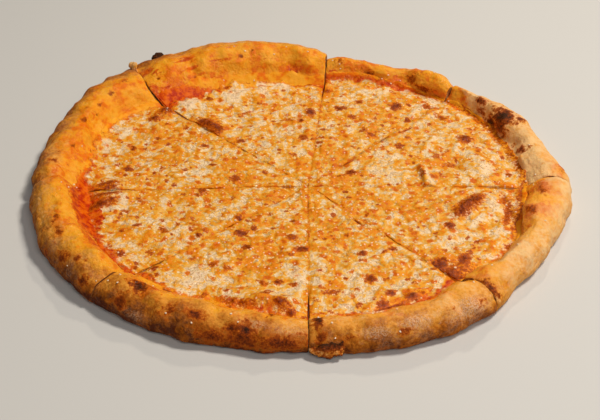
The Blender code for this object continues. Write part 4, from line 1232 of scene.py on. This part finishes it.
def make_cheese(place, seed, finish):
    u = sections(CHEESE_SECTIONS)
    rim = outline(place, u)
    foot, crest, height = rim["foot"][:, None], rim["crest"][:, None], rim["height"][:, None]
    edge_share = rim["cheese"][:, None] + CHEESE_WANDER * wander(place, u, foot, 16, 5, 0.5, seed + 70)
    edge = foot + (crest - foot) * edge_share
    top = CHEESE_TIP + (edge - CHEESE_TIP) * np.linspace(0, 1, CHEESE_STATIONS + 1)[None, :]
    to_edge = edge - top
    to_cut = from_cut(place, u[:, None], top)
    side = np.stack([top, 0 * top + seed, 0 * top], -1)
    slits = np.maximum(waves(side, 9, seed + 72) - 0.35, 0)
    margin = (CUT_HALF + CUT_SLIT * slits) * (0.2 + 0.8 * smooth_step(50 * MM, 120 * MM, top))
    azimuth = melted_sides(place, u[:, None], top, margin)
    places = spread(top, azimuth, 0 * top)

    # Its blisters and folds
    thick = CHEESE + RIPPLE * waves(places - np.array([*CUT_CENTRE, 0]), RIPPLE_SPACING, seed)
    for *spot, swelling in CHEESE_FORMS[place]:
        thick += swelling * MM * np.exp(-(off_spot(spot, azimuth, top) ** 2))
    tone = 0.46 + 0.16 * waves(places, 22, seed + 73)
    folded = np.zeros(top.shape)
    for *fold, more, gold, dark in FOLDS[place]:
        here = folds_share(fold, places)
        thick += more * MM * here
        tone += gold * here
        # Browning on blistered folds, and painted shade in the dents
        folded = np.maximum(folded, dark * here)

    # What is browned: folds, the spots seen, and specks between them. Painted shade darkens the cheese
    # beside the cuts, at its edge and in dented folds
    ragged = waves(places, 3.0, seed + 81) + 0.5 * waves(places, 1.3, seed + 82)
    cut_shade = smooth_step(-0.2, 0.7, waves(side, 11, seed + 76)) * np.exp(-((to_cut / CUT_SHADE_REACH) ** 2))
    # Painted shade where the cheese's edge meets the rim
    edge_shade = across_slice(place, "shaded_edge", u, EDGE_SHADE)[:, None]
    edge_shade = edge_shade * smooth_step(9 * MM, 1 * MM, to_edge)
    brown = np.maximum(folded * (1 - 0.45 * ragged), 0.30 * cut_shade)
    brown = np.maximum(brown, edge_shade * (1 + 0.8 * ragged))
    for *spot, strength in (*SPOTS[place], *strewn_specks(place, seed)):
        away = off_spot(spot, azimuth, top) * (1 + 0.35 * ragged)
        brown = np.maximum(brown, strength * smooth_step(1.9, 0.2, away))
        thick += SPOT_RISE * spot[2] * MM * strength * np.exp(-1.2 * away**2)

    # Its upper face
    for number, (spacing, depth) in enumerate(CHEESE_GRAIN):
        thick += depth * MM * waves(places, spacing, seed + 90 + number)
    thick -= CUT_DROOP * (0.7 + 0.6 * waves(places, 14, seed + 74)) * np.exp(-to_cut / CUT_DROOP_REACH)
    fade = smooth_step(-0.3, 1, to_edge / CHEESE_FADE)
    sunk = CHEESE_SINK * smooth_step(CHEESE_SINK_REACH, 0, to_edge)
    high = resting_height(top, foot, crest, height) + CHEESE_RIM - sunk
    high += np.maximum(thick - CHEESE_RIM, 0) * fade

    # How golden it is, and where it is thin over oil or sauce
    for *spot, more in PATCHES[place]:
        tone += more * np.exp(-(off_spot(spot, azimuth, top) ** 2))
    # Painted shade along the cuts, which makes the cheese there more golden and darker
    tone += (0.30 + 0.25 * ragged) * np.exp(-((to_cut / CUT_AMBER_SHADE_REACH) ** 2))
    bare = np.zeros(top.shape)
    red = across_slice(place, "red", u)[:, None] - np.clip((top - foot) / (crest - foot), 0, 1)
    red = smooth_step(-0.2, 0.2, red)
    for *spot, sauce in BARE.get(place, ()):
        here = smooth_step(1.3, 0.7, off_spot(spot, azimuth, top) * (1 + 0.3 * ragged))
        bare = np.maximum(bare, here)
        red = red * (1 - here) + sauce * here
    thin = np.maximum(smooth_step(9 * MM, 0, to_edge), 1.2 * bare)

    # Its lower face, and the whole
    halfway = foot + (crest - foot) * edge_share * 0.5
    under = np.concatenate([CHEESE_TIP + 0 * foot, foot, halfway, edge], 1)
    low = resting_height(under, foot, crest, height) - CHEESE_LIFT
    low[:, 2:] -= CHEESE_SINK
    ring = closed_ring(under, top)
    azimuth = melted_sides(place, u[:, None], ring, closed_ring(KERF + 0 * under, margin))
    places = inside_box(spread(ring, azimuth, closed_ring(low, high)))
    masks = {"tone": tone, "brown": brown, "thin": thin, "red": red}
    masks = {mask: closed_ring(0 * under, values) for mask, values in masks.items()}
    cheese = closed_sheet(f"melted_cheese_{place}", places, masks, (finish, finish))
    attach(cheese, "root")
    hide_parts(f"cheese_{place}")


cheese_finish = melted_cheese()
for number, place in enumerate(SLICES):
    make_cheese(place, number, cheese_finish)

# ----------------------------------------------------------------------------------------------------------
# Bits of dough. Three lumps with a rough skin stand off the rims and hang on the crust: a bubble at the
# back that burnt black, a flap beside it that curled up at the cut, and a burnt chip that broke out at the
# foot of the front cut.
CURL = 3.4 * MM  # radius of the flap's curl
SMALL_BUMPS = ((4.0, 0.9), (1.8, 0.4), (0.9, 0.2))
ROUGH_BUMPS = ((5.0, 2.6), (2.2, 1.3), (1.1, 0.5))
BIT_BAKE = 0.22

# Azimuth, radius and height, half lengths across the rim, along it and up, how burnt, and bumps
DOUGH_BITS = {
    "burnt_bubble": (126.0, 222.5, 17.0, (6.0, 6.0, 5.0), 1.0, SMALL_BUMPS),
    "curled_flap": (134.1, 216.0, 21.5, (5.5, 1.3, 6.0), 0.0, SMALL_BUMPS),
    "burnt_chip": (274.4, 181.5, 6.4, (5.4, 12.2, 5.0), 0.85, ROUGH_BUMPS),
}


def make_bit(name, seed, finish):
    azimuth, reach, up, halves, burnt, bit_bumps = DOUGH_BITS[name]
    bit = bmesh.new()
    bmesh.ops.create_icosphere(bit, subdivisions=5, radius=1.0)
    char = []
    for vertex in bit.verts:
        edge = math.hypot(vertex.co.x, vertex.co.y)
        char.append(burnt * (1.15 - 0.75 * edge**3 if name == "burnt_chip" else 1))
    bmesh.ops.scale(bit, vec=Vector(halves) * MM, verts=bit.verts)
    if name == "curled_flap":
        for vertex in bit.verts:
            turn = vertex.co.z / CURL
            round_it = CURL + vertex.co.y
            vertex.co.y = round_it * math.cos(turn) - CURL
            vertex.co.z = round_it * math.sin(turn)
    bit.normal_update()
    for vertex in bit.verts:
        spot = vertex.co / MM
        shift = Vector((seed, 0, 0))
        push = sum(depth * noise.noise(spot / spacing + shift) for spacing, depth in bit_bumps)
        vertex.co += vertex.normal * push * MM
    bmesh.ops.rotate(bit, matrix=Matrix.Rotation(math.radians(azimuth), 3, "Z"), verts=bit.verts)
    bmesh.ops.translate(bit, vec=spread(reach * MM, math.radians(azimuth), up * MM), verts=bit.verts)
    for vertex in bit.verts:
        vertex.co = inside_box(np.array(vertex.co))
    for face in bit.faces:
        face.smooth = True
    mesh = bpy.data.meshes.new(name)
    bit.to_mesh(mesh)
    bit.free()
    give_masks(mesh, {"char": char, "bake_and_shade": [BIT_BAKE] * len(char)})
    mesh.materials.append(finish)
    piece = shown(name, mesh)
    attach(piece, "root")


for number, name in enumerate(DOUGH_BITS):
    make_bit(name, number, crust_finishes[0])

# ----------------------------------------------------------------------------------------------------------
# Grated hard cheese. Small pale grains of it were strewn on at the end and lie loose on the cheese and rims:
# some where the photograph shows them, the rest scattered.
# These pale grains stand partly for white glints, as painted highlights.
SEEN_GRAINS_AND_GLINTS = (
    (81, 170), (73, 178), (68, 168), (65, 167), (63, 140), (272, 157), (272.8, 160), (272.2, 164),
    (290, 168), (286, 155), (297, 158), (300, 152), (318, 168), (214, 199), (222, 192), (226, 198),
    (240, 186), (253, 172), (255, 176), (246, 186), (66.5, 171), (63, 173), (61.2, 163), (80.6, 168),
    (83.2, 173), (100, 172), (96, 158), (107, 160), (118, 152), (138, 157), (139, 155), (147, 160),
)
MORE_GRAINS, STREWN_TO = 110, 188
GRAIN_SIZE, GRAIN_HEIGHT, GRAIN_LIFT = (0.45, 0.95), 0.45, 0.25
GRAIN_ROUGH, GRAIN_SEED = 0.3, 7
GRATED_TAN = (0.86, 0.62, 0.36, 1)
GRATED_WHITE = (0.93, 0.82, 0.66, 1)
DROPPED_FROM = 0.06


def grated_cheese():
    finish, tree, shader, place = new_finish("grated_cheese", 0.5)
    mottle = clouds(tree, place, 0.9, 3)
    tree.links.new(ramp(tree, mottle, (0.3, GRATED_TAN), (0.7, GRATED_WHITE)), shader.inputs["Base Color"])
    tree.links.new(ranged(tree, mottle, 0.3, 0.7, 0.4, 0.6), shader.inputs["Roughness"])
    shader.inputs["Specular IOR Level"].default_value = 0.3
    bumps(tree, shader, (mottle, 0.3))
    return finish


def make_grains(finish):
    depsgraph = bpy.context.evaluated_depsgraph_get()
    pieces = bpy.context.scene.objects
    under = [piece for piece in pieces if piece.name.startswith(("baked_crust_", "melted_"))]
    surfaces = [BVHTree.FromObject(piece, depsgraph) for piece in under]
    draw = np.random.default_rng(GRAIN_SEED)
    noise.seed_set(GRAIN_SEED)
    strewn = []
    for _ in range(MORE_GRAINS):
        azimuth = draw.uniform(0, 360)
        strewn.append((azimuth, STREWN_TO * math.sqrt(draw.uniform(0.1, 1))))
    grains = bmesh.new()
    for azimuth, reach in (*SEEN_GRAINS_AND_GLINTS, *strewn):
        above = Vector(spread(reach * MM, math.radians(azimuth), DROPPED_FROM))
        hits = [surface.ray_cast(above, Vector((0, 0, -1)))[0] for surface in surfaces]
        top = max((hit.z for hit in hits if hit), default=None)
        if top is None:
            continue
        halves = Vector((draw.uniform(*GRAIN_SIZE), draw.uniform(*GRAIN_SIZE), GRAIN_HEIGHT)) * MM
        turn = Matrix.Rotation(draw.uniform(0, math.pi), 4, "Z")
        lying = Matrix.Translation((above.x, above.y, top + GRAIN_LIFT * MM))
        matrix = lying @ turn @ Matrix.Diagonal((*halves, 1))
        made = bmesh.ops.create_icosphere(grains, subdivisions=2, radius=1.0, matrix=matrix)["verts"]
        for vertex in made:
            vertex.co += GRAIN_ROUGH * MM * Vector(noise.noise_vector(vertex.co / MM))
    for face in grains.faces:
        face.smooth = True
    mesh = bpy.data.meshes.new("grated_grains")
    grains.to_mesh(mesh)
    grains.free()
    mesh.materials.append(finish)
    piece = shown("grated_grains", mesh)
    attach(piece, "root")


make_grains(grated_cheese())

# ----------------------------------------------------------------------------------------------------------
# Studio. A plain pale floor, a soft key light from the right, a broad fill, a small light from behind, and
# the camera where the photograph was taken from.
FLOOR_SIZE = 6.0
FLOOR_COLOUR = (0.62, 0.60, 0.57, 1)
WORLD_COLOUR, WORLD_STRENGTH = (0.9, 0.9, 0.9, 1), 0.08
CAMERA_PLACE = (-0.00157, -0.78839, 0.55013)
CAMERA_DOWN = 35.88  # degrees below level
CAMERA_ROLL = 0.0105
LENS, SENSOR = 75, 36


def plain_floor():
    mesh = bpy.data.meshes.new("floor")
    sheet = bmesh.new()
    bmesh.ops.create_grid(sheet, x_segments=1, y_segments=1, size=FLOOR_SIZE / 2)
    sheet.to_mesh(mesh)
    sheet.free()
    finish, _, shader, _ = new_finish("pale_floor", 0.7)
    shader.inputs["Base Color"].default_value = FLOOR_COLOUR
    mesh.materials.append(finish)
    floor = shown("floor", mesh)


def soft_light(name, place, size, power, colour):
    """A round light that shines on the middle of the pizza."""
    data = bpy.data.lights.new(name, "AREA")
    data.shape = "DISK"
    data.size = size
    data.energy = power
    data.color = colour
    lamp = shown(name, data)
    lamp.location = place
    lamp.rotation_euler = (-Vector(place)).to_track_quat("-Z", "Y").to_euler()


plain_floor()
soft_light("key", (0.90, 0.20, 1.70), 0.4, 27.5, (1.0, 0.95, 0.87))
soft_light("fill", (0.3, -1.5, 1.6), 1.2, 14.5, (1.0, 0.97, 0.94))
soft_light("glint", (0.5, 1.5, 1.4), 0.15, 8, (1.0, 0.90, 0.74))
world = bpy.data.worlds.new("studio")
world.use_nodes = True
world.node_tree.nodes["Background"].inputs["Color"].default_value = WORLD_COLOUR
world.node_tree.nodes["Background"].inputs["Strength"].default_value = WORLD_STRENGTH
bpy.context.scene.world = world
bpy.context.scene.view_settings.view_transform = "Standard"

camera_data = bpy.data.cameras.new("camera")
camera_data.lens = LENS
camera_data.sensor_width = SENSOR
camera = shown("camera", camera_data)
tilt = Matrix.Rotation(math.radians(90 - CAMERA_DOWN), 4, "X")
camera.matrix_world = Matrix.Translation(CAMERA_PLACE) @ tilt @ Matrix.Rotation(CAMERA_ROLL, 4, "Z")
bpy.context.scene.camera = camera
